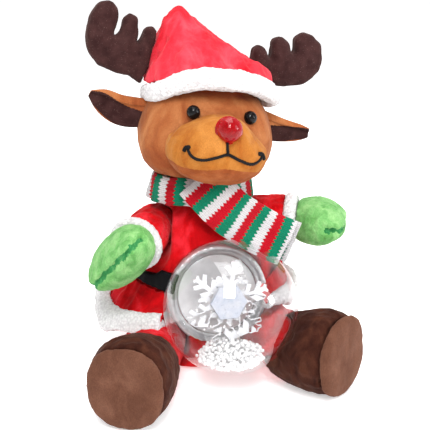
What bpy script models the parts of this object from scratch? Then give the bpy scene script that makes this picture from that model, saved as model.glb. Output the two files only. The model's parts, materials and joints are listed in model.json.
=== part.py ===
"""Seated plush reindeer with a blown-snow globe in its belly. Metres, +Z up, the face towards -Y."""

import math

import bmesh
import bpy
import numpy as np
from mathutils import Matrix, Vector

GAP = 0.0004
GLOBE_CENTRE = Vector((0.0, -0.090, 0.082))
GLOBE_TILT = 7.0
GLOBE_RADIUS = 0.060
GLOBE_WALL = 0.002
MOUTH_DEPTH = 0.043
NECK_DEPTH = 0.047
HOUSING_RADIUS = 0.034
HOUSING_BACK = 0.084
SNOWFLAKE_RADIUS = 0.040
LENS_RADIUS = 0.017
HEAD_CENTRE = Vector((0.001, 0.0, 0.220))
HEAD_ROLL = 9.0
NECK_AXIS = Vector((0.003, 0.0, 0.166))
NECK_RADIUS = 0.026
HEAD_BOTTOM = 0.1802
EYE_RADIUS = 0.006
NOSE_RADIUS = 0.011
CELL_RADIUS = 0.00725
CELL_LENGTH = 0.0505
CELL_MIDDLE = -0.0085
CELL_HEIGHTS = (0.015, 0.031, 0.047)
SIDES = {"right": -1.0, "left": 1.0}
SHOULDER = {"right": Vector((-0.050, 0.0, 0.133)), "left": Vector((0.050, 0.0, 0.134))}
HAND = {"right": Vector((-0.090, -0.058, 0.124)), "left": Vector((0.104, -0.024, 0.132))}
HAND_LONG = {"right": Vector((-0.73, 0.0, -0.68)), "left": Vector((0.36, 0.93, 0.0))}
HAND_HALF_LENGTH = {"right": 0.038, "left": 0.033}
ARM_SWING = {"right": (-5, 20), "left": (-25, 20)}
HIP = {"right": Vector((-0.046, -0.006, 0.028)), "left": Vector((0.046, -0.006, 0.028))}
BOOT = {"right": Vector((-0.093, -0.122, 0.0)), "left": Vector((0.077, -0.108, 0.0))}
BOOT_SPLAY = {"right": -28.0, "left": 38.0}
LEG_SWING = {"right": (-12, 0), "left": (0, 12)}

TORSO_RINGS = (
    (0.000, 0.061, 0.053, 0.012),
    (0.003, 0.069, 0.061, 0.012),
    (0.010, 0.075, 0.065, 0.012),
    (0.025, 0.079, 0.067, 0.011),
    (0.052, 0.080, 0.067, 0.010),
    (0.084, 0.077, 0.062, 0.009),
    (0.114, 0.068, 0.055, 0.007),
    (0.139, 0.056, 0.046, 0.004),
    (0.154, 0.042, 0.036, 0.002),
    (0.166, 0.030, 0.028, 0.001),
)


def collection(name, hidden):
    made = bpy.data.collections.new(name)
    made.hide_render = hidden
    bpy.context.scene.collection.children.link(made)
    return made


def material(name, colour, roughness, metallic=0.0, alpha=1.0):
    made = bpy.data.materials.new(name)
    made.use_nodes = True
    shader = made.node_tree.nodes["Principled BSDF"]
    shader.inputs["Base Color"].default_value = (*colour, 1.0)
    shader.inputs["Roughness"].default_value = roughness
    shader.inputs["Metallic"].default_value = metallic
    shader.inputs["Alpha"].default_value = alpha
    return made


def add(name, mesh, paint, parent=None, smooth=True):
    obj = bpy.data.objects.new(name, mesh)
    PARTS.objects.link(obj)
    obj.parent = parent
    if smooth:
        for polygon in mesh.polygons:
            polygon.use_smooth = True
    mesh.materials.append(paint)
    return obj


def empty(name, location, parent=None, rotation=(0.0, 0.0, 0.0)):
    made = bpy.data.objects.new(name, None)
    PARTS.objects.link(made)
    made.location = location
    made.rotation_euler = rotation
    made.parent = parent
    bpy.context.view_layer.update()
    return made


def as_cutter(obj):
    for owner in list(obj.users_collection):
        owner.objects.unlink(obj)
    CUTTERS.objects.link(obj)
    obj.hide_render = True
    obj.display_type = "WIRE"
    return obj


def outward(mesh):
    work = bmesh.new()
    work.from_mesh(mesh)
    bmesh.ops.remove_doubles(work, verts=work.verts, dist=1e-6)
    bmesh.ops.recalc_face_normals(work, faces=work.faces)
    work.to_mesh(mesh)
    work.free()
    return mesh


def loft(name, rings, paint, parent=None, loop=False):
    """Skin over rings of the same number of points: capped at both ends, or closed into a loop."""
    count = len(rings[0])
    points = [tuple(point) for ring in rings for point in ring]
    faces = []
    for row in range(len(rings) if loop else len(rings) - 1):
        here = row * count
        there = (row + 1) % len(rings) * count
        for i in range(count):
            j = (i + 1) % count
            faces.append((here + i, here + j, there + j, there + i))
    if not loop:
        faces.append(tuple(reversed(range(count))))
        faces.append(tuple(range(len(points) - count, len(points))))
    mesh = bpy.data.meshes.new(name)
    mesh.from_pydata(points, [], faces)
    return add(name, outward(mesh), paint, parent)


def oval(centre, across, up, wide, tall, power=2.0, count=24):
    """A superellipse about a centre, in the plane of two unit vectors."""
    ring = []
    for i in range(count):
        angle = 2 * math.pi * i / count
        c = math.cos(angle)
        s = math.sin(angle)
        x = math.copysign(abs(c) ** (2 / power), c) * wide
        y = math.copysign(abs(s) ** (2 / power), s) * tall
        ring.append(Vector(centre) + across * x + up * y)
    return ring


def turned(name, profile, paint, parent=None, steps=36):
    """A profile of (radius, height) from the top down its outer side, turned about local Z."""
    mesh = bpy.data.meshes.new(name)
    closed = profile[0][0] > 0 and profile[-1][0] > 0
    points = [(radius, 0.0, height) for radius, height in profile]
    edges = [(i, i + 1) for i in range(len(points) - 1)]
    if closed:
        edges.append((len(points) - 1, 0))
    mesh.from_pydata(points, edges, [])
    obj = add(name, mesh, paint, parent)
    screw = obj.modifiers.new("turn", "SCREW")
    screw.steps = steps
    screw.render_steps = steps
    screw.use_merge_vertices = True
    screw.merge_threshold = 0.00001
    screw.use_smooth_shade = True
    return applied(obj)


def applied(obj):
    """The object with its modifiers made into its mesh, closed and facing out."""
    bpy.context.view_layer.update()
    graph = bpy.context.evaluated_depsgraph_get()
    mesh = bpy.data.meshes.new_from_object(obj.evaluated_get(graph))
    mesh.name = obj.name
    obj.modifiers.clear()
    obj.data = outward(mesh)
    return obj


def box(name, low, high, paint, parent=None, edge=0.0):
    low = Vector(low)
    high = Vector(high)
    mesh = bpy.data.meshes.new(name)
    work = bmesh.new()
    bmesh.ops.create_cube(work, size=1.0)
    bmesh.ops.scale(work, vec=high - low, verts=work.verts)
    bmesh.ops.translate(work, vec=(low + high) / 2, verts=work.verts)
    work.to_mesh(mesh)
    work.free()
    obj = add(name, mesh, paint, parent, smooth=False)
    if edge:
        bevel = obj.modifiers.new("edge", "BEVEL")
        bevel.width = edge
        bevel.segments = 2
    return obj


def ball(name, centre, radius, paint, parent=None, segments=32):
    mesh = bpy.data.meshes.new(name)
    work = bmesh.new()
    bmesh.ops.create_uvsphere(work, u_segments=segments, v_segments=segments // 2, radius=radius)
    bmesh.ops.translate(work, vec=Vector(centre), verts=work.verts)
    work.to_mesh(mesh)
    work.free()
    return add(name, mesh, paint, parent)


def plate(name, outline, low, high, paint, parent=None, edge=0.0):
    """A flat outline in local XY, made solid between two heights."""
    curve = bpy.data.curves.new(name, "CURVE")
    curve.dimensions = "2D"
    curve.fill_mode = "BOTH"
    curve.extrude = (high - low) / 2 - edge
    curve.bevel_depth = edge
    curve.bevel_resolution = 1
    curve.offset = -edge
    spline = curve.splines.new("POLY")
    spline.points.add(len(outline) - 1)
    for point, (x, y) in zip(spline.points, outline):
        point.co = (x, y, 0.0, 1.0)
    spline.use_cyclic_u = True
    return from_curve(name, curve, paint, parent, Matrix.Translation((0, 0, (low + high) / 2)))


def tube(name, path, radius, paint, parent=None, sides=1):
    curve = bpy.data.curves.new(name, "CURVE")
    curve.dimensions = "3D"
    curve.bevel_depth = radius
    curve.bevel_resolution = sides
    curve.use_fill_caps = True
    spline = curve.splines.new("POLY")
    spline.points.add(len(path) - 1)
    for point, place in zip(spline.points, path):
        point.co = (*place, 1.0)
    return from_curve(name, curve, paint, parent, Matrix.Identity(4))


def from_curve(name, curve, paint, parent, place):
    guide = bpy.data.objects.new(name + "_guide", curve)
    PARTS.objects.link(guide)
    bpy.context.view_layer.update()
    graph = bpy.context.evaluated_depsgraph_get()
    mesh = bpy.data.meshes.new_from_object(guide.evaluated_get(graph))
    bpy.data.objects.remove(guide)
    mesh.transform(place)
    mesh.name = name
    mesh.materials.clear()
    return add(name, outward(mesh), paint, parent, smooth=False)


def spline_path(points, count):
    """A smooth run of points through the given ones."""
    given = np.array([tuple(point) for point in points], float)
    full = np.vstack([2 * given[0] - given[1], given, 2 * given[-1] - given[-2]])
    out = []
    for t in np.linspace(0, len(given) - 1, count):
        i = min(int(t), len(given) - 2)
        u = t - i
        a, b, c, d = full[i : i + 4]
        place = 0.5 * (2 * b + (c - a) * u + (2 * a - 5 * b + 4 * c - d) * u**2)
        out.append(Vector(place + 0.5 * (3 * b - a - 3 * c + d) * u**3))
    return out


def boolean(target, tool, operation="DIFFERENCE"):
    modifier = target.modifiers.new(operation.lower(), "BOOLEAN")
    modifier.object = tool
    modifier.operation = operation
    modifier.solver = "EXACT"
    return applied(target)


def merge(target, *tools):
    for tool in tools:
        boolean(target, as_cutter(tool), "UNION")
    return target


def cut(target, *tools):
    for tool in tools:
        boolean(target, as_cutter(tool))
    return target


def drop_crumbs(obj):
    """Only the largest body of a mesh, without the slivers a trim can leave beside it."""
    work = bmesh.new()
    work.from_mesh(obj.data)
    left = set(work.verts)
    bodies = []
    while left:
        body = {left.pop()}
        edge = list(body)
        while edge:
            near = {link.other_vert(vert) for vert in edge for link in vert.link_edges} - body
            body |= near
            edge = list(near)
        left -= body
        bodies.append(body)
    bodies.sort(key=len)
    crumbs = [vert for body in bodies[:-1] for vert in body]
    bmesh.ops.delete(work, geom=crumbs, context="VERTS")
    work.to_mesh(obj.data)
    work.free()


def spaced(obj, gap=GAP):
    """A hidden copy of a piece, grown by the gap."""
    bpy.context.view_layer.update()
    graph = bpy.context.evaluated_depsgraph_get()
    mesh = bpy.data.meshes.new_from_object(obj.evaluated_get(graph))
    mesh.transform(obj.matrix_world)
    work = bmesh.new()
    work.from_mesh(mesh)
    bmesh.ops.recalc_face_normals(work, faces=work.faces)
    work.normal_update()
    moves = [vert.normal * gap * min(vert.calc_shell_factor(), 3.0) for vert in work.verts]
    for vert, move in zip(work.verts, moves):
        vert.co += move
    work.to_mesh(mesh)
    work.free()
    mesh.name = obj.name + "_room"
    return as_cutter(add(obj.name + "_room", mesh, CLEAR))


def swing_room(name, pivot, along, axis, swing, radii):
    """Room for a round limb at every angle of its joint: a fan about the middle direction."""
    middle = Matrix.Rotation(math.radians(sum(swing) / 2), 3, axis) @ along
    flat = middle.cross(axis).normalized()
    spread = math.tan(math.radians((swing[1] - swing[0]) / 2))
    rings = []
    for step, radius in radii:
        wide = radius * math.sqrt(1 + spread * spread) + step * spread
        rings.append(oval(pivot + middle * step, flat, axis, wide + 0.0012, radius + 0.0008, 3.2, 18))
    return loft(name, rings, CLEAR)


def torso_ring(height, grow, count=32):
    heights = [ring[0] for ring in TORSO_RINGS]
    wide, deep, middle = (np.interp(height, heights, [r[k] for r in TORSO_RINGS]) for k in (1, 2, 3))
    centre = (0.0, float(middle), height)
    across = Vector((1, 0, 0))
    return oval(centre, across, Vector((0, 1, 0)), wide + grow, deep + grow, 2.2, count)


def torso_band(name, layers, paint):
    """A closed band about the torso from (height, grow, drop) layers, each lowered at the front."""
    rings = []
    for height, grow, drop in layers:
        ring = []
        for i in range(32):
            front = max(0.0, -math.sin(2 * math.pi * i / 32))
            ring.append(torso_ring(height - drop * front * front, grow)[i])
        rings.append(ring)
    return loft(name, rings, paint, loop=True)


for startup in list(bpy.data.objects):
    bpy.data.objects.remove(startup, do_unlink=True)
PARTS = collection("plush_reindeer_snow_globe", False)
CUTTERS = collection("cutters", True)

CLEAR = material("clear_room", (1.0, 1.0, 1.0), 0.5)
SUIT = material("red_plush", (0.78, 0.03, 0.05), 0.9)
TROUSER = material("red_trouser_plush", (0.76, 0.03, 0.05), 0.9)
TAN = material("tan_plush", (0.48, 0.22, 0.08), 0.9)
MUZZLE = material("golden_plush", (0.55, 0.27, 0.09), 0.9)
BROWN = material("dark_brown_fleece", (0.06, 0.035, 0.03), 0.95)
BOOT_PAINT = material("boot_plush", (0.08, 0.03, 0.02), 0.9)
SOLE_PAINT = material("sole_plush", (0.15, 0.075, 0.05), 0.9)
WHITE_FLEECE = material("white_fleece", (0.92, 0.91, 0.90), 0.95)
GREEN = material("green_plush", (0.27, 0.55, 0.20), 0.9)
KNIT = material("scarf_knit", (0.60, 0.03, 0.05), 0.95)
SATIN = material("black_satin", (0.01, 0.01, 0.012), 0.35)
EYE = material("eye_black", (0.005, 0.005, 0.006), 0.08)
RED_LENS = material("red_lens", (0.75, 0.01, 0.02), 0.1, alpha=0.7)
GLASS = material("clear_globe", (0.97, 0.98, 0.98), 0.02, alpha=0.2)
SILVER = material("silver_plate", (0.62, 0.62, 0.62), 0.3, 1.0)
WHITE_PLASTIC = material("white_plastic", (0.88, 0.88, 0.88), 0.4)
GLITTER = material("glitter_plastic", (0.93, 0.95, 0.98), 0.2)
BEADS = material("foam_beads", (0.95, 0.95, 0.95), 0.8)
BLACK_PLASTIC = material("black_plastic", (0.03, 0.03, 0.03), 0.5)
BOARD = material("board_green", (0.02, 0.20, 0.08), 0.5)
STEEL = material("zinc_steel", (0.60, 0.61, 0.62), 0.3, 1.0)
CELL = material("cell_wrap", (0.15, 0.25, 0.45), 0.35)
WIRE = material("wire_red", (0.55, 0.02, 0.02), 0.4)
LED = material("led_dome", (0.95, 0.85, 0.85), 0.1)


def make_globe():
    """The globe, its snow and lights, and the fan behind it, about the globe's own axis."""
    frame = empty("globe_axis", GLOBE_CENTRE, rotation=(math.radians(90 - GLOBE_TILT), 0, 0))
    inner = GLOBE_RADIUS - GLOBE_WALL
    start = math.pi / 2
    end = -math.asin(MOUTH_DEPTH / GLOBE_RADIUS)
    outside = [
        (GLOBE_RADIUS * math.cos(a), GLOBE_RADIUS * math.sin(a)) for a in np.linspace(start, end, 13)
    ]
    end = -math.asin(MOUTH_DEPTH / inner)
    inside = [(inner * math.cos(a), inner * math.sin(a)) for a in np.linspace(end, start, 13)]
    outside[0] = (0.0, GLOBE_RADIUS)
    inside[-1] = (0.0, inner)
    neck = [(outside[-1][0], -NECK_DEPTH), (inside[0][0], -NECK_DEPTH)]
    turned("globe_shell", outside + neck + inside, GLASS, frame, 40)
    mouth = outside[-1][0]
    lip = inside[0][0]
    collar = (
        (0.047, -0.0436),
        (0.047, -0.0502),
        (lip + 0.0004, -0.0502),
        (lip + 0.0004, -0.0474),
        (mouth + GAP, -0.0474),
        (mouth + GAP, -0.0436),
    )
    turned("globe_collar", collar, SILVER, frame)
    vent = turned("vent_plate", ((0, -0.0449), (lip - GAP, -0.0449), (lip - GAP, -0.0468), (0, -0.0468)), SILVER, frame)
    cut(vent, turned("stem_room", ((0, -0.04), (0.0060, -0.04), (0.0060, -0.05), (0, -0.05)), CLEAR, frame, 24))
    for i in range(12):
        slot = box("slot", (0.012, -0.0012, -0.05), (0.032, 0.0012, -0.04), CLEAR, frame)
        slot.rotation_euler.z = math.radians(30 * i)
        cut(vent, slot)
    stem = ((0, -0.008), (0.0055, -0.008), (0.0055, -0.0512), (0, -0.0512))
    lens = turned("glitter_lens", stem, GLITTER, frame, 24)
    hexagon = [
        (LENS_RADIUS * math.cos(math.radians(a)), LENS_RADIUS * math.sin(math.radians(a)))
        for a in range(0, 360, 60)
    ]
    merge(lens, plate("lens_face", hexagon, -0.0092, -0.0045, CLEAR, frame, 0.0007))
    flake = plate("snowflake", snowflake_outline(), -0.0122, -0.0098, WHITE_PLASTIC, frame)
    cut(flake, turned("flake_hole", ((0, 0), (0.0060, 0), (0.0060, -0.02), (0, -0.02)), CLEAR, frame, 24))
    make_fan(frame)
    make_beads()
    return frame


def snowflake_outline():
    arm = (
        (12, -2), (18, -2), (25, -10), (28, -8.5), (23, -2), (28, -2), (33, -8), (35.5, -6.5),
        (32, -2), (37, -2), (40, 0), (37, 2), (32, 2), (35.5, 6.5), (33, 8), (28, 2), (23, 2),
        (28, 8.5), (25, 10), (18, 2), (12, 2),
    )
    leaf = (
        (12, -1.5), (17, -1.5), (19, -4.5), (22, -4.5), (23, -2.5), (26, -2.5), (27.5, 0),
        (26, 2.5), (23, 2.5), (22, 4.5), (19, 4.5), (17, 1.5), (12, 1.5),
    )
    scale = SNOWFLAKE_RADIUS / 40
    outline = []
    for i in range(12):
        angle = math.radians(30 * i + 18)
        for along, side in leaf if i % 2 else arm:
            x = along * math.cos(angle) - side * math.sin(angle)
            y = along * math.sin(angle) + side * math.cos(angle)
            outline.append((x * scale, y * scale))
    return outline


def make_fan(frame):
    """Housing, motor, blades, light board and the screwed back cover."""
    inner = HOUSING_RADIUS - 0.002
    wall = (
        (HOUSING_RADIUS, -0.0506),
        (HOUSING_RADIUS, -HOUSING_BACK),
        (inner, -HOUSING_BACK),
        (inner, -0.0680),
        (0.0126, -0.0680),
        (0.0126, -0.0660),
        (inner, -0.0660),
        (inner, -0.0506),
    )
    housing = turned("fan_housing", wall, BLACK_PLASTIC, frame, 28)
    cover_shape = ((0, -0.0844), (HOUSING_RADIUS, -0.0844), (HOUSING_RADIUS, -0.0863), (0, -0.0863))
    cover = turned("housing_cover", cover_shape, BLACK_PLASTIC, frame, 28)
    post = ((0, -0.067), (0.004, -0.067), (0.004, -HOUSING_BACK), (0, -HOUSING_BACK))
    pilot = ((0, -0.074), (0.0013, -0.074), (0.0013, -0.09), (0, -0.09))
    through = ((0, -0.08), (0.0016, -0.08), (0.0016, -0.09), (0, -0.09))
    screw = (
        (0, -0.0775), (0.0009, -0.0780), (0.0009, -0.0867), (0.0028, -0.0867), (0.0026, -0.0882), (0, -0.0886),
    )
    for i in range(3):
        place = Matrix.Rotation(math.radians(90 + 120 * i), 4, "Z") @ Matrix.Translation((0.0290, 0, 0))
        tools = {}
        for name, shape in (("post", post), ("pilot", pilot), ("through", through)):
            tools[name] = turned(name, shape, CLEAR, frame, 12)
            tools[name].data.transform(place)
        merge(housing, tools["post"])
        cut(housing, tools["pilot"])
        cut(cover, tools["through"])
        turned(f"housing_screw_{i + 1}", screw, STEEL, frame, 12).data.transform(place)
    motor = ((0, -0.0663), (0.0120, -0.0663), (0.0120, -0.0820), (0, -0.0820))
    turned("fan_motor", motor, STEEL, frame, 32)
    spin = empty("fan_spin", (0, 0, -0.060), frame)
    turned("motor_shaft", ((0, 0.0055), (0.001, 0.0052), (0.001, -0.0059), (0, -0.0059)), STEEL, spin, 12)
    blades = []
    for i in range(9):
        for radius, turn in ((6.0, -8), (15, 3), (23, 19), (23.4, 23), (15, 9), (6.0, 6)):
            angle = math.radians(40 * i + turn)
            blades.append((0.001 * radius * math.cos(angle), 0.001 * radius * math.sin(angle)))
    impeller = plate("impeller", blades, -0.003, 0.003, WHITE_PLASTIC, spin)
    cut(impeller, turned("bore", ((0, 0.01), (0.0014, 0.01), (0.0014, -0.01), (0, -0.01)), CLEAR, spin, 12))
    board = ((0, -0.0516), (0.011, -0.0516), (0.011, -0.0532), (0, -0.0532))
    turned("light_board", board, BOARD, frame, 32)


def make_beads():
    """The heap of foam beads lying in the bottom of the globe."""
    inner = GLOBE_RADIUS - GLOBE_WALL - 0.0012
    heap = [(0, -0.0408), (0.010, -0.0412), (0.018, -0.0432), (0.024, -0.0462), (0.0285, -0.0496)]
    under = [(inner * math.sin(a), -inner * math.cos(a)) for a in np.linspace(0.49, 0, 7)]
    under[-1] = (0.0, -inner)
    beads = turned("snow_beads", heap + under, BEADS, steps=24)
    beads.location = GLOBE_CENTRE


def make_torso():
    rings = [torso_ring(height, 0.0) for height, *_ in TORSO_RINGS]
    return loft("torso", rings, SUIT)


def hollow_torso(torso, frame):
    """The drum room, the electronics pocket, the battery pocket and the wire ways."""
    room = ((0, -0.030), (0.0480, -0.030), (0.0480, -0.051), (0.0350, -0.051), (0.0350, -0.092), (0, -0.092))
    cut(torso, ball("globe_room", GLOBE_CENTRE, GLOBE_RADIUS + 0.0012, CLEAR, segments=28))
    cut(torso, turned("drum_room", room, CLEAR, frame, 28))
    cut(torso, box("pocket", (-0.030, -0.010, 0.052), (0.030, 0.026, 0.098), CLEAR))
    cut(torso, box("battery_room", (-0.0385, 0.039, 0.0044), (0.0385, 0.100, 0.0576), CLEAR))
    lead_way = tube("lead_way", ((0.020, 0.020, 0.064), (0.020, 0.030, 0.059), (0.020, 0.045, 0.048)), 0.0035, CLEAR)
    cut(torso, lead_way)
    cut(torso, tube("nose_way", ((0.003, 0.010, 0.084), (0.003, 0.002, 0.124), (0.003, 0.0, 0.174)), 0.0025, CLEAR))


def make_battery_box():
    """Open-backed box with three cells, a screwed door and the power switch beside it."""
    holder = box("battery_box", (-0.0375, 0.0400, 0.0052), (0.0375, 0.0600, 0.0568), BLACK_PLASTIC)
    cut(holder, box("cell_bay", (-0.0355, 0.0418, 0.0072), (0.0185, 0.0700, 0.0548), CLEAR))
    cut(holder, box("knob_slot", (0.0265, 0.0565, 0.0285), (0.0355, 0.0700, 0.0345), CLEAR))
    pilot = turned("door_pilot", ((0, 0.012), (0.0012, 0.012), (0.0012, 0), (0, 0)), CLEAR, steps=16)
    pilot.rotation_euler.x = math.radians(-90)
    pilot.location = (0.0215, 0.0500, 0.031)
    bpy.context.view_layer.update()
    cut(holder, pilot)
    for i, height in enumerate(CELL_HEIGHTS):
        half = CELL_LENGTH / 2
        shape = (
            (0, half), (0.0027, half), (0.0027, half - 0.001), (CELL_RADIUS, half - 0.001),
            (CELL_RADIUS, -half), (0, -half),
        )
        cell = turned(f"battery_{i + 1}", shape, CELL, steps=16)
        cell.rotation_euler.y = math.radians(90 if i % 2 else -90)
        cell.location = (CELL_MIDDLE, 0.0508, height)
    slide = empty("door_slide", (0.0, 0.0613, 0.031))
    door = box("battery_door", (-0.0372, -0.0009, -0.0255), (0.0250, 0.0009, 0.0255), BLACK_PLASTIC, slide)
    hole = turned("door_hole", ((0, 0.01), (0.0016, 0.01), (0.0016, -0.01), (0, -0.01)), CLEAR, steps=16)
    hole.rotation_euler.x = math.radians(-90)
    hole.location = (0.0215, 0.0613, 0.031)
    bpy.context.view_layer.update()
    cut(door, hole)
    shape = ((0, 0.0038), (0.0024, 0.0034), (0.0026, 0.0018), (0.0009, 0.0014), (0.0009, -0.0080), (0, -0.0085))
    screw = turned("battery_door_screw", shape, STEEL, slide, 12)
    screw.rotation_euler.x = math.radians(-90)
    screw.location = (0.0215, 0.0, 0.0)
    knob = empty("switch_slide", (0.0291, 0.0600, 0.0315))
    box("power_switch_knob", (-0.0020, -0.0030, -0.0024), (0.0020, 0.0030, 0.0024), WHITE_PLASTIC, knob, 0.0004)


def make_electronics():
    box("control_board", (-0.022, 0.0060, 0.058), (0.022, 0.0076, 0.090), BOARD)
    speaker = turned("speaker", ((0, 0.007), (0.008, 0.007), (0.014, 0.001), (0.014, 0), (0, 0)), BLACK_PLASTIC, steps=32)
    speaker.rotation_euler.x = math.radians(-90)
    speaker.location = (-0.010, 0.0125, 0.074)
    tube("battery_lead", ((0.020, 0.0080, 0.066), (0.020, 0.022, 0.0635), (0.020, 0.030, 0.059), (0.020, 0.0395, 0.0520)), 0.0009, WIRE)
    tube("nose_lead_lower", ((0.003, 0.0110, 0.082), (0.003, 0.0084, 0.094), (0.003, 0.002, 0.124), (0.003, 0.0, 0.164)), 0.0009, WIRE)


def make_dress():
    """Skirt of the jacket, its fleece hem, the belt and the scarf."""
    skirt = torso_band(
        "jacket_skirt",
        (
            (0.0915, 0.0026, 0.012), (0.0840, 0.0055, 0.009), (0.0740, 0.0130, 0.003), (0.0660, 0.0190, 0.0),
            (0.0660, 0.0140, 0.0), (0.0740, 0.0085, 0.003), (0.0840, 0.0002, 0.009), (0.0905, -0.0010, 0.012),
        ),
        SUIT,
    )
    hem = torso_band(
        "jacket_hem",
        (
            (0.0735, 0.0190, 0.0), (0.0715, 0.0240, 0.0), (0.0630, 0.0270, 0.0), (0.0550, 0.0240, 0.0),
            (0.0530, 0.0180, 0.0), (0.0550, 0.0125, 0.0), (0.0630, 0.0100, 0.0), (0.0715, 0.0130, 0.0),
        ),
        WHITE_FLEECE,
    )
    belt = torso_band(
        "belt",
        (
            (0.1080, 0.0025, 0.012), (0.1075, 0.0040, 0.012), (0.0935, 0.0045, 0.012),
            (0.0930, 0.0030, 0.012), (0.0940, 0.0006, 0.012), (0.1070, 0.0006, 0.012),
        ),
        SATIN,
    )
    return skirt, hem, belt


def make_scarf():
    rings = []
    for i in range(28):
        angle = 2 * math.pi * i / 28
        out = Vector((math.cos(angle), math.sin(angle), 0.0))
        centre = Vector((0.002 + 0.046 * out.x, 0.001 + 0.042 * out.y, 0.1630 + 0.003 * out.y))
        rings.append(oval(centre, out, Vector((0, 0, 1)), 0.0085, 0.0125, 2.6, 8))
    loop = loft("scarf_loop", rings, KNIT, loop=True)
    path = spline_path(((-0.008, -0.0560, 0.1590), (0.010, -0.0590, 0.1540), (0.038, -0.0625, 0.1400), (0.064, -0.0650, 0.1230)), 9)
    slant = Vector((0.55, 0.0, 0.83)).normalized()
    rings = [oval(point, slant, Vector((0, 1, 0)), 0.021, 0.0035, 3.0, 20) for point in path]
    tail = loft("scarf_tail", rings, KNIT)
    return loop, tail


def make_head():
    """The head and everything sewn to it, under one turning frame at the neck."""
    turn = empty("head_turn", NECK_AXIS)
    roll = Matrix.Translation(HEAD_CENTRE - NECK_AXIS) @ Matrix.Rotation(math.radians(HEAD_ROLL), 4, "Y")
    x = Vector((1, 0, 0))
    y = Vector((0, 1, 0))
    z = Vector((0, 0, 1))
    rings = [
        oval((0, 0.003, height), x, y, wide, deep, 2.3, 28)
        for height, wide, deep in (
            (-0.042, 0.028, 0.026), (-0.038, 0.043, 0.040), (-0.029, 0.054, 0.051), (-0.015, 0.062, 0.058),
            (0.0, 0.065, 0.060), (0.015, 0.063, 0.059), (0.028, 0.058, 0.055), (0.038, 0.048, 0.046),
            (0.046, 0.030, 0.030), (0.049, 0.012, 0.012),
        )
    ]
    head = loft("head", rings, TAN, turn)
    head.data.transform(roll)
    cut(head, box("under_head", (-0.1, -0.1, 0.150), (0.1, 0.1, HEAD_BOTTOM), CLEAR))
    neck = turned("neck", ((0, 0.030), (NECK_RADIUS, 0.030), (NECK_RADIUS, 0.0006), (0, 0.0006)), CLEAR, turn, 40)
    merge(head, neck)
    rings = [
        oval((-0.004, along, rise), x, z, wide, tall, 2.2, 24)
        for along, rise, wide, tall in (
            (-0.030, -0.006, 0.040, 0.027), (-0.042, -0.007, 0.0445, 0.029), (-0.056, -0.007, 0.0455, 0.0295),
            (-0.068, -0.006, 0.043, 0.0285), (-0.079, -0.003, 0.036, 0.0245), (-0.088, 0.000, 0.026, 0.0185),
            (-0.0935, 0.003, 0.012, 0.0090),
        )
    ]
    for ring in rings:
        top = max(point.z for point in ring)
        for point in ring:
            point.x = -0.004 + (point.x + 0.004) * (1.0 - 0.42 * max(0.0, point.z / top) ** 1.2)
    muzzle = loft("muzzle", rings, MUZZLE, turn)
    muzzle.data.transform(roll)
    cut(muzzle, spaced(head))
    make_face(turn, head, muzzle)
    hat, band = make_hat(turn, head)
    make_ears(turn, head, band)
    make_antlers(turn, head, hat, band)
    return turn


def local(point):
    return Vector(point) - NECK_AXIS


def make_face(turn, head, muzzle):
    for side, place in (("right", (-0.024, -0.0515, 0.2490)), ("left", (0.030, -0.0535, 0.2405))):
        eye = ball(f"{side}_eye", local(place), EYE_RADIUS, EYE, turn, 20)
        cut(eye, spaced(head))
        cut(eye, spaced(muzzle))
    centre = Vector((-0.003, -0.0900, 0.2420))
    out = Vector((0.0, -0.94, 0.34)).normalized()
    aim = Vector((0, 0, 1)).rotation_difference(out).to_matrix().to_4x4()
    place = Matrix.Translation(centre) @ aim
    outer = [(NOSE_RADIUS * math.cos(a), NOSE_RADIUS * math.sin(a)) for a in np.linspace(math.pi / 2, -0.55, 8)]
    outer[0] = (0.0, NOSE_RADIUS)
    inner = [(0.0092 * math.cos(a), 0.0092 * math.sin(a)) for a in np.linspace(-0.66, math.pi / 2, 6)]
    inner[-1] = (0.0, 0.0092)
    lens = turned("nose_lens", outer + inner, RED_LENS, steps=26)
    lens.data.transform(Matrix.Translation(-NECK_AXIS) @ place)
    lens.parent = turn
    led = turned("nose_led", ((0, 0.0030), (0.0022, 0.0024), (0.0030, 0.0008), (0.0030, -0.0050), (0, -0.0050)), LED, steps=20)
    led.data.transform(Matrix.Translation(-NECK_AXIS) @ place)
    led.parent = turn
    back = centre - out * 0.0060
    path = spline_path((back, (-0.002, -0.060, 0.232), (0.002, -0.020, 0.219), (0.003, 0.0, 0.194), (0.003, 0.0, 0.1676)), 14)
    tube("nose_lead_upper", [local(point) for point in path], 0.0009, WIRE, turn)
    way_path = [local(point) for point in path[:-1]] + [local((0.003, 0.0, 0.1676)), local((0.003, 0.0, 0.159))]
    cut(head, tube("head_way", way_path, 0.0022, CLEAR, turn))
    front = centre + out * 0.004
    muzzle_way = [local(front)] + [local(point) for point in path[:-1]]
    cut(muzzle, tube("muzzle_way", muzzle_way, 0.0042, CLEAR, turn))
    cut(muzzle, ball("nose_room", local(centre), NOSE_RADIUS + GAP, CLEAR, turn, 24))


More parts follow.
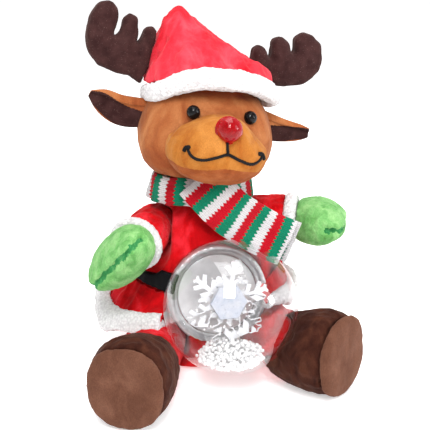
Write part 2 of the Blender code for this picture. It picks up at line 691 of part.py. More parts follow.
def make_hat(turn, head):
    x = Vector((1, 0, 0))
    rings = []
    for mid, back, height, wide, deep, lean, pitch in (
        (0.003, 0.004, 0.263, 0.0600, 0.0560, 0.12, 0.20), (0.002, 0.004, 0.270, 0.0580, 0.0540, 0.13, 0.18),
        (-0.001, 0.005, 0.279, 0.0525, 0.0490, 0.16, 0.14), (-0.006, 0.006, 0.291, 0.044, 0.041, 0.20, 0.08),
        (-0.012, 0.007, 0.306, 0.033, 0.031, 0.22, 0.04), (-0.018, 0.008, 0.320, 0.021, 0.020, 0.22, 0.0),
        (-0.022, 0.009, 0.331, 0.011, 0.011, 0.20, 0.0), (-0.024, 0.010, 0.336, 0.004, 0.004, 0.20, 0.0),
    ):
        across = (x - Vector((0, 0, lean))).normalized()
        rings.append(oval(local((mid, back, height)), across, Vector((0, 1, -pitch)).normalized(), wide, deep, 2.0, 28))
    hat = loft("hat", rings, SUIT, turn)
    cut(hat, spaced(head))
    drop_crumbs(hat)
    rings = []
    for i in range(28):
        angle = 2 * math.pi * i / 28
        out = Vector((math.cos(angle), math.sin(angle), 0.0))
        rise = 0.2595 - 0.007 * out.x - 0.0130 * out.y
        centre = Vector((0.0045 + 0.0570 * out.x, 0.003 + 0.056 * out.y, rise))
        rings.append(oval(local(centre), out, Vector((0, 0, 1)), 0.0075, 0.0100, 2.4, 8))
    band = loft("hat_band", rings, WHITE_FLEECE, turn, loop=True)
    cut(band, spaced(head), spaced(hat))
    return hat, band


def make_ears(turn, head, band):
    shapes = {
        "right": ((-0.050, 0.004, 0.240), (-0.066, 0.002, 0.2385), (-0.082, 0.0, 0.241), (-0.097, 0.0, 0.250), (-0.108, 0.0, 0.260)),
        "left": ((0.050, 0.004, 0.227), (0.066, 0.002, 0.2250), (0.080, 0.0, 0.2225), (0.092, 0.0, 0.217), (0.101, 0.0, 0.210)),
    }
    for side, points in shapes.items():
        path = spline_path([local(point) for point in points], 11)
        rings = []
        for i, point in enumerate(path):
            t = i / 10
            ahead = (path[min(i + 1, 10)] - path[max(i - 1, 0)]).normalized()
            deep = Vector((0, 1, 0))
            up = ahead.cross(deep).normalized()
            tall = 0.0030 + 0.0125 * math.sin(math.pi * min(1.0, 0.25 + 0.75 * t)) ** 0.8
            rings.append(oval(point, up, deep, tall, 0.0020 + 0.0055 * (1 - t) ** 0.5, 2.0, 16))
        ear = loft(f"{side}_ear", rings, TAN, turn)
        cut(ear, spaced(head), spaced(band))


def make_antlers(turn, head, hat, band):
    shapes = {
        "right": (
            (-40, 268), (-55, 268), (-70, 279), (-88, 285), (-101, 292), (-108, 303), (-109, 318), (-105, 335),
            (-97, 346), (-88, 348), (-81, 342), (-82, 330), (-86, 318), (-83, 314), (-77, 320), (-73, 332),
            (-67, 336), (-61, 332), (-61, 320), (-64, 309), (-61, 307), (-56, 313), (-52, 322), (-46, 323),
            (-42, 317), (-43, 303), (-40, 290), (-34, 282),
        ),
        "left": (
            (40, 262), (52, 261), (66, 265), (84, 264), (98, 267), (109, 276), (114, 288), (112, 302),
            (104, 311), (95, 314), (88, 309), (87, 300), (85, 294), (81, 297), (78, 306), (71, 311),
            (63, 308), (62, 299), (62, 291), (58, 290), (55, 299), (49, 303), (43, 299), (42, 288), (36, 280),
        ),
    }
    upright = Matrix.Rotation(math.radians(90), 4, "X")
    for side, outline in shapes.items():
        metres = [(0.001 * x, 0.001 * z - 0.006) for x, z in outline]
        antler = plate(f"{side}_antler", metres, -0.0085, 0.0085, BROWN, turn, 0.0040)
        antler.data.transform(Matrix.Translation(Vector((0, 0.006, 0)) - NECK_AXIS) @ upright)
        cut(antler, spaced(head), spaced(hat), spaced(band))
        drop_crumbs(antler)


def arm_frame(side):
    along = (HAND[side] - SHOULDER[side]).normalized()
    wide = HAND_LONG[side] - along * HAND_LONG[side].dot(along)
    wide.normalize()
    return along, wide, along.cross(wide).normalized()


def make_arm(side):
    """Sleeve, fleece cuff and stuffed mitten on one frame at the shoulder."""
    swing = empty(f"{side}_arm_swing", SHOULDER[side])
    along, wide, thick = arm_frame(side)
    hand = (HAND[side] - SHOULDER[side]).length
    rings = []
    reach = hand - 0.033
    root = ((-0.0195, 0.004), (-0.0175, 0.0095), (-0.013, 0.015), (-0.006, 0.019), (0.0, 0.020))
    for step, radius in (*root, (reach * 0.35, 0.021), (reach * 0.7, 0.0225), (reach, 0.0225)):
        rings.append(oval(along * step, wide, thick, radius, radius, 2.0, 24))
    loft(f"{side}_sleeve", rings, SUIT, swing)
    end = reach + GAP
    cuff = ((end, 0.0215), (end + 0.001, 0.0245), (end + 0.006, 0.0260), (end + 0.011, 0.0245), (end + 0.012, 0.0215))
    rings = [oval(along * step, wide, thick, radius, radius, 2.0, 24) for step, radius in cuff]
    loft(f"{side}_cuff", rings, WHITE_FLEECE, swing)
    half = HAND_HALF_LENGTH[side]
    start = end + 0.0124
    rings = []
    for step, across, deep in (
        (0.0, 0.0205, 0.0185), (0.005, 0.0250, 0.0205), (0.013, half * 0.90, 0.0220), (0.022, half, 0.0225),
        (0.031, half * 0.99, 0.0200), (0.039, half * 0.92, 0.0150), (0.045, half * 0.82, 0.0085), (0.048, half * 0.72, 0.0030),
    ):
        rings.append(oval(along * (start + step), wide, thick, across, deep, 2.2, 24))
    loft(f"{side}_mitten", rings, GREEN, swing)
    return swing, along, thick


def make_paw_switch(swing, along, thick):
    """The press switch inside the left mitten, reached from the wrist."""
    mitten = bpy.data.objects["left_mitten"]
    hand = (HAND["left"] - SHOULDER["left"]).length
    frame = Matrix.Translation(along * hand) @ Vector((0, 0, 1)).rotation_difference(thick).to_matrix().to_4x4()
    turn_in = Vector((0, 0, 1)).rotation_difference(thick).to_matrix().to_4x4()
    room = turned("switch_room", ((0, 0.0075), (0.0105, 0.0075), (0.0105, -0.0060), (0, -0.0060)), CLEAR, swing, 28)
    room.data.transform(frame)
    way = tube("switch_way", (along * hand, along * (hand - 0.05)), 0.0050, CLEAR, swing)
    cut(mitten, merge(room, way))
    case = turned(
        "paw_switch_case",
        ((0, -0.0038), (0.0082, -0.0038), (0.0082, 0.0010), (0.0098, 0.0010), (0.0098, -0.0052), (0, -0.0052)),
        BLACK_PLASTIC, swing, 28,
    )
    case.data.transform(frame)
    press = empty("paw_press", along * hand, swing)
    button = turned("paw_button", ((0, 0.0045), (0.0060, 0.0040), (0.0076, 0.0025), (0.0076, -0.0010), (0, -0.0010)), WHITE_PLASTIC, press, 28)
    button.data.transform(turn_in)


def boot_front(side):
    splay = math.radians(BOOT_SPLAY[side])
    return Vector((math.sin(splay), -math.cos(splay), 0.0))


def ankle(side):
    return BOOT[side] - boot_front(side) * 0.034


def leg_rings(side, grow):
    """Rings of a trouser leg from its rounded root at the hip to the ankle inside the boot."""
    hip = Vector((HIP[side].x, HIP[side].y, 0.0))
    end = BOOT[side] - boot_front(side) * (0.024 - 2 * grow)
    heading = (end - hip).normalized()
    across = Vector((-heading.y, heading.x, 0.0))
    up = Vector((0, 0, 1))
    length = (end - hip).length
    rings = []
    for along, radius, rise in (
        (-0.0235, 0.0050, 0.0), (-0.0205, 0.0120, 0.0), (-0.0145, 0.0185, 0.0), (-0.007, 0.0225, 0.0),
        (0.0, 0.0235, 0.0), (0.2 * length, 0.0255, 0.001), (0.45 * length, 0.0275, 0.002),
        (0.72 * length, 0.0275, 0.003), (length, 0.0275, 0.004),
    ):
        place = hip + heading * along + up * (HIP[side].z + rise)
        rings.append(oval(place, across, up, radius + grow, radius + grow, 2.1, 24))
    return rings


def make_leg(side):
    """Trouser leg, boot and sole on one frame at the hip."""
    swing = empty(f"{side}_leg_swing", HIP[side])
    splay = math.radians(BOOT_SPLAY[side])
    front = boot_front(side)
    side_way = Vector((math.cos(splay), math.sin(splay), 0.0))
    up = Vector((0, 0, 1))
    leg = loft(f"{side}_trouser_leg", leg_rings(side, 0.0), TROUSER, swing)
    leg.data.transform(Matrix.Translation(-HIP[side]))
    rings = []
    for t, rise, wide, tall in (
        (-0.040, 0.0340, 0.0290, 0.0270), (-0.030, 0.0345, 0.0315, 0.0305), (-0.018, 0.0350, 0.0335, 0.0340),
        (-0.005, 0.0372, 0.0355, 0.0372), (0.007, 0.0385, 0.0360, 0.0385), (0.015, 0.0385, 0.0352, 0.0378),
        (0.021, 0.0385, 0.0335, 0.0358),
    ):
        rings.append(oval(BOOT[side] + front * t + up * rise, side_way, up, wide, tall, 2.2, 22))
    boot = loft(f"{side}_boot", rings, BOOT_PAINT, swing)
    boot.data.transform(Matrix.Translation(-HIP[side]))
    cut(boot, loft(f"{side}_ankle_room", leg_rings(side, 0.0008), CLEAR))
    rings = []
    for t, wide, tall in (
        (0.0214, 0.0330, 0.0355), (0.0230, 0.0345, 0.0372), (0.0270, 0.0335, 0.0367), (0.0295, 0.0300, 0.0335),
        (0.0305, 0.0230, 0.0268),
    ):
        rings.append(oval(BOOT[side] + front * t + up * 0.0380, side_way, up, wide, tall, 2.3, 22))
    sole = loft(f"{side}_sole", rings, SOLE_PAINT, swing)
    sole.data.transform(Matrix.Translation(-HIP[side]))
    return leg


def build():
    globe_frame = make_globe()
    make_battery_box()
    make_electronics()
    torso = make_torso()
    make_head()
    skirt, hem, belt = make_dress()
    loop, tail = make_scarf()
    for side in SIDES:
        swing, along, thick = make_arm(side)
        axis = along.cross(Vector((0, 0, 1))).normalized()
        if side == "left":
            make_paw_switch(swing, along, thick)
        radii = ((-0.018, 0.008), (-0.012, 0.016), (0.0, 0.0205), (0.018, 0.0235), (0.024, 0.0270), (0.060, 0.0275))
        room = swing_room(f"{side}_arm_room", SHOULDER[side], along, axis, ARM_SWING[side], radii)
        for piece in (torso, belt, loop):
            cut(piece, room)
        socket = ball(f"{side}_shoulder_room", SHOULDER[side], 0.0210, CLEAR, segments=16)
        cut(torso, socket)
        cut(loop, ball(f"{side}_collar_room", SHOULDER[side], 0.0235, CLEAR, segments=16))
    for side in SIDES:
        make_leg(side)
        run = ankle(side) - HIP[side]
        along = Vector((run.x, run.y, 0.0)).normalized()
        radii = ((-0.020, 0.014), (-0.010, 0.021), (0.0, 0.0240), (0.020, 0.0275), (0.050, 0.0340), (0.090, 0.040))
        room = swing_room(f"{side}_leg_room", HIP[side], along, Vector((0, 0, 1)), LEG_SWING[side], radii)
        cut(torso, room)
        cut(hem, room)
        cut(skirt, room)
        cut(torso, ball(f"{side}_hip_room", HIP[side], 0.0250, CLEAR, segments=18))
    hollow_torso(torso, globe_frame)
    globe = ball("globe_clear", GLOBE_CENTRE, GLOBE_RADIUS + 0.0012, CLEAR, segments=28)
    for piece in (skirt, hem, belt, tail):
        cut(piece, globe)
    for piece in ("right_boot", "left_boot", "right_trouser_leg", "left_trouser_leg"):
        cut(bpy.data.objects[piece], globe)
    collar_room = spaced(bpy.data.objects["globe_collar"])
    for piece in (belt, skirt):
        cut(piece, collar_room)
    for side in SIDES:
        cut(bpy.data.objects[f"{side}_trouser_leg"], spaced(bpy.data.objects["globe_collar"], 0.0020))
    cut(hem, box("door_path", (-0.0380, 0.0560, 0.0040), (0.0258, 0.1100, 0.0572), CLEAR))
    torso_room = spaced(torso)
    cut(skirt, torso_room)
    cut(hem, torso_room, spaced(skirt))
    cut(belt, torso_room, spaced(skirt))
    cut(loop, torso_room)
    cut(tail, torso_room, spaced(loop))
    for piece in (skirt, hem, belt, loop):
        drop_crumbs(piece)


build()
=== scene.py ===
"""Looks of the seated plush reindeer with a blown-snow globe in its belly. Metres, +Z up, facing -Y."""

import json
import random
from math import asin, copysign, cos, hypot, pi, radians, sin

import bmesh
import bpy
import numpy as np
from mathutils import Matrix, Vector, noise
from mathutils.bvhtree import BVHTree


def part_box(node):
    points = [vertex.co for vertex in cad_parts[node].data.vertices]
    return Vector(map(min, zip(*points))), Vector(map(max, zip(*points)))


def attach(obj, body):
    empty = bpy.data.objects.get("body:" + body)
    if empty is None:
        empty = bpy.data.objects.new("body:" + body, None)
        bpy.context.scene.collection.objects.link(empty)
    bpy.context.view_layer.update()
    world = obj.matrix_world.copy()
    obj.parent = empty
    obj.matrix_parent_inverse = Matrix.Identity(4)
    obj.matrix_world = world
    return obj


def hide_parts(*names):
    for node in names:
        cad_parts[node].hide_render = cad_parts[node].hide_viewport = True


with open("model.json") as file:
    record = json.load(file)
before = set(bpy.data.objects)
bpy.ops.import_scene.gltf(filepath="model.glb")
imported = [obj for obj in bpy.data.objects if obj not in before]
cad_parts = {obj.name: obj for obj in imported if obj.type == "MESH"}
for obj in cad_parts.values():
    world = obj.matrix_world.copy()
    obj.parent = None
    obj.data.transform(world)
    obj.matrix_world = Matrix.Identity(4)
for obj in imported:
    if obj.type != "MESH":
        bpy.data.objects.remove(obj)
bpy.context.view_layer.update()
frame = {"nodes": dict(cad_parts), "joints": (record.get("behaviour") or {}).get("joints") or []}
NODES = frame["nodes"]
HINGES = {joint["name"]: joint for joint in frame["joints"]}


def middle(node):
    low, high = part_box(node)
    return (Vector(low) + Vector(high)) / 2


GLOBE_CENTRE = Vector((0.0, -0.09, middle("globe_shell").z - 0.0026))
GLOBE_RADIUS = 0.06
GLOBE_AXIS = Vector((0.0, -cos(radians(7)), sin(radians(7))))
NECK = Vector(HINGES["head_turn"]["pos_m"])
SHOULDER = {side: Vector(HINGES[f"{side}_arm_swing"]["pos_m"]) for side in ("right", "left")}
Y = Vector((0, 1, 0))
Z = Vector((0, 0, 1))
WALE = 0.0034
STITCH_ROW = 0.0019
STRIPES = 0.0262
PUFF_STEPS = 16
EVEN = (1.0, 1.0, 1.0)


# ---- materials


class Paint:
    """A Principled material with a few short ways to add procedural detail to it."""

    def __init__(self, name, colour, roughness, **sockets):
        self.made = bpy.data.materials.new(name)
        self.made.use_nodes = True
        self.tree = self.made.node_tree
        self.shader = self.tree.nodes["Principled BSDF"]
        self.set(Base_Color=(*colour, 1.0), Roughness=roughness, **sockets)
        self.place = self.tree.nodes.new("ShaderNodeTexCoord").outputs["Object"]
        self.height = None

    def set(self, **sockets):
        for name, value in sockets.items():
            self.shader.inputs[name.replace("_", " ")].default_value = value

    def feed(self, socket, value):
        if hasattr(value, "node"):
            self.tree.links.new(value, socket)
        else:
            socket.default_value = value

    def node(self, kind, **sockets):
        made = self.tree.nodes.new(kind)
        for name, value in sockets.items():
            self.feed(made.inputs[name.replace("_", " ")], value)
        return made

    def stretched(self, scale):
        return self.node("ShaderNodeMapping", Vector=self.place, Scale=scale).outputs["Vector"]

    def noise(self, size, detail=2.0, stretch=None, rough=0.5, warp=0.0):
        vector = self.stretched(stretch) if stretch else self.place
        grain = dict(Scale=1 / size, Detail=detail, Roughness=rough, Distortion=warp)
        return self.node("ShaderNodeTexNoise", Vector=vector, **grain).outputs["Fac"]

    def cells(self, size):
        return self.node("ShaderNodeTexVoronoi", Vector=self.place, Scale=1 / size).outputs["Distance"]

    def ramp(self, factor, stops, constant=False):
        made = self.node("ShaderNodeValToRGB", Fac=factor)
        band = made.color_ramp
        if constant:
            band.interpolation = "CONSTANT"
        while len(band.elements) < len(stops):
            band.elements.new(0.5)
        for element, (at, colour) in zip(band.elements, stops):
            element.position = at
            element.color = (*colour, 1.0)
        return made.outputs["Color"]

    def mix(self, factor, first, second, blend="MIX"):
        made = self.tree.nodes.new("ShaderNodeMix")
        made.data_type = "RGBA"
        made.blend_type = blend
        for index, value in ((0, factor), (6, first), (7, second)):
            self.feed(made.inputs[index], value)
        return made.outputs[2]

    def math(self, operation, first, second=0.0):
        made = self.tree.nodes.new("ShaderNodeMath")
        made.operation = operation
        self.feed(made.inputs[0], first)
        self.feed(made.inputs[1], second)
        return made.outputs[0]

    def see_through(self, share, tint, surface):
        """Mixes a tinted view through the wall with a surface shader, by the surface's share."""
        clear = self.node("ShaderNodeBsdfTransparent", Color=tint)
        blend = self.tree.nodes.new("ShaderNodeMixShader")
        for socket, value in zip(blend.inputs, (share, clear.outputs[0], surface)):
            self.feed(socket, value)
        self.feed(self.tree.nodes["Material Output"].inputs["Surface"], blend.outputs[0])

    def colour(self, output):
        self.tree.links.new(output, self.shader.inputs["Base Color"])

    def bump(self, output, distance, strength=1.0):
        made = self.node("ShaderNodeBump", Height=output, Distance=distance, Strength=strength)
        if self.height:
            self.tree.links.new(self.height, made.inputs["Normal"])
        self.height = made.outputs["Normal"]
        self.tree.links.new(self.height, self.shader.inputs["Normal"])


def scaled(colour, factor):
    return tuple(min(1.0, part * factor) for part in colour)


def grey(tone):
    return (tone, tone, tone)


def clouded(name, low, high, roughness, size, detail=2.0, stretch=None, **sockets):
    """A paint that drifts between two tones, and the noise that it drifts by."""
    made = Paint(name, low, roughness, **sockets)
    cloud = made.noise(size, detail, stretch)
    made.colour(made.ramp(cloud, ((0.3, low), (0.7, high))))
    return made, cloud


def plush(name, deep, base, lit, patch, nap, sheen, glow):
    """Short pile: brushed patches, fine fibres lying down the cloth, and a soft sheen at the edges."""
    made = Paint(name, base, 0.85, Sheen_Weight=sheen, Sheen_Roughness=0.45, Specular_IOR_Level=0.06)
    made.set(Sheen_Tint=(*glow, 1.0))
    brushed = made.noise(patch, 3.0, (1.0, 1.0, 0.6), 0.55, 0.6)
    broad = made.ramp(brushed, ((0.33, deep), (0.51, base), (0.68, lit)))
    fibre = made.noise(nap, 4.0, (1.0, 1.0, 0.55), 0.65)
    speck = made.ramp(fibre, ((0.3, grey(0.72)), (0.7, grey(1.12))))
    made.colour(made.mix(1.0, broad, speck, "MULTIPLY"))
    made.bump(fibre, 0.0006, 0.45)
    made.bump(made.noise(0.006, 3.0, None, 0.6), 0.0012, 0.35)
    return made.made


def fleece():
    """Curly knitted fleece: small tufts with a little shade between them."""
    base = (0.72, 0.71, 0.71)
    made = Paint("white_curl", base, 0.95, Sheen_Weight=0.1, Sheen_Roughness=0.6, Specular_IOR_Level=0.1)
    tufts = made.cells(0.0022)
    made.colour(made.ramp(tufts, ((0.15, base), (0.85, (0.52, 0.5, 0.51)))))
    made.bump(made.math("MULTIPLY", tufts, -1.0), 0.0011, 0.5)
    made.bump(made.noise(0.00088, 4.0, None, 0.7), 0.00066, 0.5)
    return made.made


def dark_fleece():
    """Felt-like dark brown fleece with a few pale fibres caught in it."""
    made = Paint("antler_fleece", (0.045, 0.018, 0.018), 0.95, Sheen_Weight=0.18, Sheen_Roughness=0.5)
    made.set(Sheen_Tint=(0.4, 0.28, 0.26, 1.0), Specular_IOR_Level=0.04)
    cloud = made.ramp(made.noise(0.009, 4.0), ((0.3, (0.024, 0.009, 0.009)), (0.7, (0.048, 0.02, 0.019))))
    flecks = made.ramp(made.noise(0.0009, 2.0), ((0.66, grey(0.0)), (0.74, grey(1.0))))
    made.colour(made.mix(made.math("MULTIPLY", flecks, 0.35), cloud, (0.3, 0.2, 0.17, 1.0)))
    made.bump(made.noise(0.0008, 4.0, None, 0.7), 0.0006, 0.6)
    made.bump(made.noise(0.004, 3.0), 0.001, 0.35)
    return made.made


def knit():
    """Striped stocking stitch, coloured by how far along the scarf each row lies, with painted shade between
    the stitches.
    """
    made = Paint("scarf_knit_yarn", (0.55, 0.02, 0.03), 0.9, Sheen_Weight=0.06, Sheen_Roughness=0.5)
    made.set(Specular_IOR_Level=0.12)
    lay = made.tree.nodes.new("ShaderNodeUVMap")
    lay.uv_map = "weave"
    split = made.node("ShaderNodeSeparateXYZ", Vector=lay.outputs["UV"])
    tooth = made.math("PINGPONG", made.math("MULTIPLY", split.outputs["Y"], 1 / WALE), 0.5)
    along = made.math("ADD", split.outputs["X"], made.math("MULTIPLY", tooth, 0.0056))
    cycle = made.math("FRACT", made.math("MULTIPLY", along, 1 / STRIPES))
    red = (0.5, 0.002, 0.012)
    white = (0.66, 0.64, 0.65)
    green = (0.002, 0.2, 0.105)
    stripes = made.ramp(cycle, ((0.0, white), (0.32, red), (0.66, green)), True)
    rows = made.math("FRACT", made.math("MULTIPLY", along, 1 / STITCH_ROW))
    loop = made.math("SINE", made.math("MULTIPLY", rows, pi))
    wale = made.math("SINE", made.math("MULTIPLY", tooth, 2 * pi))
    stitch = made.math("MULTIPLY", made.math("POWER", loop, 0.6), made.math("POWER", wale, 0.5))
    # painted shade: the stripes darken in the gaps between wales and between rows
    shade = made.ramp(stitch, ((0.0, grey(0.34)), (0.55, grey(1.0))))
    made.colour(made.mix(1.0, stripes, shade, "MULTIPLY"))
    made.bump(stitch, 0.0007, 0.8)
    made.bump(made.noise(0.0004, 2.0), 0.0003, 0.4)
    return made.made


def satin():
    """Black ribbon: fine crosswise ribs and long soft lights."""
    look = dict(Specular_IOR_Level=0.07, Anisotropic=0.5)
    tones = ((0.001, 0.001, 0.002), (0.005, 0.005, 0.006))
    made, ribs = clouded("belt_satin", *tones, 0.3, 0.0006, 2.0, (1.0, 1.0, 6.0), **look)
    made.bump(ribs, 0.0002, 0.4)
    made.bump(made.noise(0.01, 2.0, (1.0, 1.0, 0.5)), 0.0015, 0.5)
    return made.made


def thread():
    tones = (grey(0.002), (0.012, 0.011, 0.012))
    made, twist = clouded("mouth_thread", *tones, 0.6, 0.0005, 2.0, (1.0, 1.0, 2.0), Specular_IOR_Level=0.12)
    made.bump(twist, 0.0003, 0.7)
    return made.made


def moulded(name, colour, roughness, grain=0.0006, **sockets):
    """Moulded plastic: slight cloudiness and a very fine texture."""
    made = clouded(name, scaled(colour, 0.86), scaled(colour, 1.08), roughness, 0.008, 3.0, **sockets)[0]
    made.bump(made.noise(grain, 3.0), 0.0001, 0.4)
    return made.made


def steel():
    """Zinc plate with fine turning marks."""
    colour = (0.62, 0.62, 0.63)
    tones = (scaled(colour, 0.85), scaled(colour, 1.1))
    made, marks = clouded("zinc_plate", *tones, 0.3, 0.0009, 3.0, (1.0, 1.0, 8.0), Metallic=1.0)
    made.bump(marks, 0.0001, 0.3)
    return made.made


def silver_plate():
    """Silver-coated plastic behind the flake: soft satin, a little cloudy."""
    made = clouded("silver_coated", (0.56, 0.56, 0.57), grey(0.72), 0.34, 0.015, 3.0, Metallic=0.45)[0]
    made.bump(made.noise(0.0007, 2.0), 0.0001, 0.3)
    return made.made


def glitter():
    """Clear white dome full of tiny bright and dark flakes."""
    made = Paint("glitter_resin", (0.9, 0.92, 0.95), 0.35, Specular_IOR_Level=0.3)
    dots = made.ramp(made.cells(0.0013), ((0.2, grey(1.0)), (0.28, grey(0.0))))
    tints = made.ramp(made.noise(0.003, 2.0), ((0.4, (0.1, 0.11, 0.13)), (0.6, (0.62, 0.68, 0.82))))
    haze = made.ramp(made.noise(0.006, 2.0), ((0.3, (0.42, 0.45, 0.53)), (0.7, (0.52, 0.53, 0.57))))
    made.colour(made.mix(made.math("MULTIPLY", dots, 0.75), haze, tints))
    made.bump(made.noise(0.0015, 2.0), 0.0003, 0.4)
    return made.made


def foam():
    made = clouded("foam_bead", grey(0.8), grey(0.88), 0.7, 0.003)[0]
    made.bump(made.cells(0.0006), 0.0002, 0.5)
    return made.made


def clear_globe(name, most):
    """Thin clear wall: see-through face on, brighter and mirroring towards the rim."""
    made = Paint(name, grey(1.0), 0.03)
    mirror = made.node("ShaderNodeBsdfGlossy", Color=(1.0, 1.0, 1.0, 1.0), Roughness=0.02)
    edge = made.node("ShaderNodeLayerWeight", Blend=0.5)
    swirl = made.math("MULTIPLY", made.noise(0.02, 2.0), 0.02)
    rim = made.math("MULTIPLY", made.math("POWER", edge.outputs["Facing"], 3.2), most)
    share = made.math("ADD", made.math("ADD", rim, most * 0.06), swirl)
    made.see_through(share, (0.985, 0.985, 0.988, 1.0), mirror.outputs[0])
    made.tree.nodes.remove(made.shader)
    return made.made


def red_lens():
    """Clear red dome: tinted where it is looked through, glossy on top."""
    tones = ((0.36, 0.0, 0.004), (0.46, 0.001, 0.008))
    made = clouded("nose_dome", *tones, 0.06, 0.006, Specular_IOR_Level=0.7)[0]
    edge = made.node("ShaderNodeLayerWeight", Blend=0.5)
    share = made.math("ADD", made.math("MULTIPLY", edge.outputs["Facing"], 0.6), 0.32)
    made.see_through(share, (0.8, 0.06, 0.09, 1.0), made.shader.outputs[0])
    return made.made


def eye_black():
    tones = (grey(0.002), (0.008, 0.007, 0.008))
    return clouded("eye_resin", *tones, 0.04, 0.003, Specular_IOR_Level=0.18)[0].made


RED_LIT = (1.0, 0.35, 0.35)
TAN_LIT = (1.0, 0.7, 0.45)
DARK_LIT = (0.6, 0.35, 0.28)
LIME_LIT = (0.8, 1.0, 0.7)
LEAF_LIT = (0.6, 1.0, 0.6)
# deep, middle and lit colour, size of the brushed patches, size of the fibres, sheen and its tint
PILES = {
    "suit": ((0.36, 0.001, 0.003), (0.56, 0.003, 0.006), (0.72, 0.02, 0.032), 0.022, 0.0007, 0.22, RED_LIT),
    "hat": ((0.5, 0.01, 0.02), (0.66, 0.03, 0.048), (0.76, 0.065, 0.09), 0.024, 0.0007, 0.22, RED_LIT),
    "tan": ((0.24, 0.056, 0.018), (0.34, 0.104, 0.034), (0.44, 0.165, 0.06), 0.026, 0.0007, 0.14, TAN_LIT),
    "golden": ((0.3, 0.074, 0.01), (0.4, 0.14, 0.024), (0.49, 0.195, 0.042), 0.022, 0.0007, 0.12, TAN_LIT),
    "chin": ((0.23, 0.048, 0.012), (0.29, 0.072, 0.02), (0.37, 0.108, 0.034), 0.02, 0.0007, 0.12, TAN_LIT),
    "boot": (
        (0.024, 0.006, 0.004), (0.042, 0.012, 0.007), (0.068, 0.022, 0.012), 0.014, 0.0007, 0.12, DARK_LIT
    ),
    "sole": (
        (0.1, 0.04, 0.024), (0.125, 0.052, 0.032), (0.155, 0.068, 0.043), 0.018, 0.0008, 0.12, DARK_LIT
    ),
    "green": ((0.1, 0.3, 0.075), (0.165, 0.4, 0.125), (0.25, 0.49, 0.18), 0.01, 0.001, 0.18, LIME_LIT),
    # crease: darker green pile, painted shade for the mitten's pressed-in seam crease
    "crease": ((0.02, 0.15, 0.04), (0.038, 0.22, 0.066), (0.085, 0.31, 0.1), 0.006, 0.0009, 0.12, LEAF_LIT),
}
M = {name: plush(f"{name}_pile", *row) for name, row in PILES.items()}
M.update(
    white=fleece(),
    dark=dark_fleece(),
    knit=knit(),
    satin=satin(),
    thread=thread(),
    globe=clear_globe("clear_shell", 0.62),
    inside=clear_globe("clear_shell_inside", 0.1),
    nose=red_lens(),
    socket=moulded("nose_socket", (0.3, 0.002, 0.008), 0.35),
    eye=eye_black(),
    silver=silver_plate(),
    flake=moulded("flake_plastic", (0.68, 0.68, 0.7), 0.4, 0.0008, Coat_Weight=0.3),
    glitter=glitter(),
    foam=foam(),
    white_plastic=moulded("white_moulding", grey(0.8), 0.4),
    black_plastic=moulded("black_moulding", (0.03, 0.03, 0.032), 0.45),
    board=moulded("green_board", (0.02, 0.18, 0.07), 0.4, 0.0004, Coat_Weight=0.5),
    steel=steel(),
    cell=moulded("cell_sleeve", (0.12, 0.22, 0.42), 0.3, 0.0005, Coat_Weight=0.4),
    wire=moulded("wire_sleeve", (0.55, 0.015, 0.02), 0.4, 0.0003),
    led=moulded("led_dome", (0.9, 0.5, 0.52), 0.12, 0.0003, Coat_Weight=0.8),
)


# ---- meshes


def placed(name, data):
    obj = bpy.data.objects.new(name, data)
    bpy.context.scene.collection.objects.link(obj)
    return obj


def new_object(name, mesh, *paints):
    obj = placed(name, mesh)
    for paint in paints:
        mesh.materials.append(paint)
    for polygon in mesh.polygons:
        polygon.use_smooth = True
    return obj


def from_points(name, points, faces, paint):
    mesh = bpy.data.meshes.new(name)
    mesh.from_pydata([tuple(point) for point in points], [], faces)
    return new_object(name, mesh, paint)


def applied(obj):
    """The object with its modifiers made into its mesh."""
    graph = bpy.context.evaluated_depsgraph_get()
    mesh = bpy.data.meshes.new_from_object(obj.evaluated_get(graph))
    obj.modifiers.clear()
    old = obj.data
    obj.data = mesh
    bpy.data.meshes.remove(old)
    return obj


def coordinates(mesh):
    flat = np.empty(len(mesh.vertices) * 3, np.float32)
    mesh.vertices.foreach_get("co", flat)
    return flat.reshape(-1, 3).astype(np.float64)


def normals(mesh):
    flat = np.empty(len(mesh.vertices) * 3, np.float32)
    mesh.vertices.foreach_get("normal", flat)
    return flat.reshape(-1, 3).astype(np.float64)


def set_coordinates(mesh, points):
    mesh.vertices.foreach_set("co", points.astype(np.float32).ravel())
    mesh.update()


def soft_copy(name, node, paint, voxel, rounds):
    """A CAD piece's shape as an even, softened mesh of its own."""
    work = bmesh.new()
    work.from_mesh(NODES[node].data)
    mesh = bpy.data.meshes.new(name)
    work.to_mesh(mesh)
    work.free()
    obj = new_object(name, mesh, M[paint])
    remesh = obj.modifiers.new("even", "REMESH")
    remesh.mode = "VOXEL"
    remesh.voxel_size = voxel
    soften = obj.modifiers.new("soften", "SMOOTH")
    soften.iterations = rounds
    return applied(obj)


def divided(obj):
    more = obj.modifiers.new("more", "SUBSURF")
    more.levels = 1
    more.render_levels = 1
    return applied(obj)


def puffed(obj, cap, pressure):
    """Stuffing: the cloth is blown up a little from inside, and no point moves further than the cap."""
    before = coordinates(obj.data)
    cloth = obj.modifiers.new("cloth", "CLOTH")
    stuffing = dict(
        quality=4, mass=0.2, tension_stiffness=12, compression_stiffness=12, bending_stiffness=0.8,
        use_pressure=True, uniform_pressure_force=pressure,
    )
    for name, value in stuffing.items():
        setattr(cloth.settings, name, value)
    cloth.settings.effector_weights.gravity = 0
    cloth.collision_settings.use_collision = False
    cloth.point_cache.frame_start = 1
    cloth.point_cache.frame_end = PUFF_STEPS
    for step in range(1, PUFF_STEPS + 1):
        bpy.context.scene.frame_set(step)
    applied(obj)
    bpy.context.scene.frame_set(1)
    after = coordinates(obj.data)
    move = after - before
    length = np.linalg.norm(move, axis=1, keepdims=True)
    limit = cap * np.tanh(length / cap) / np.maximum(length, 1e-9)
    set_coordinates(obj.data, before + move * limit)
    return obj


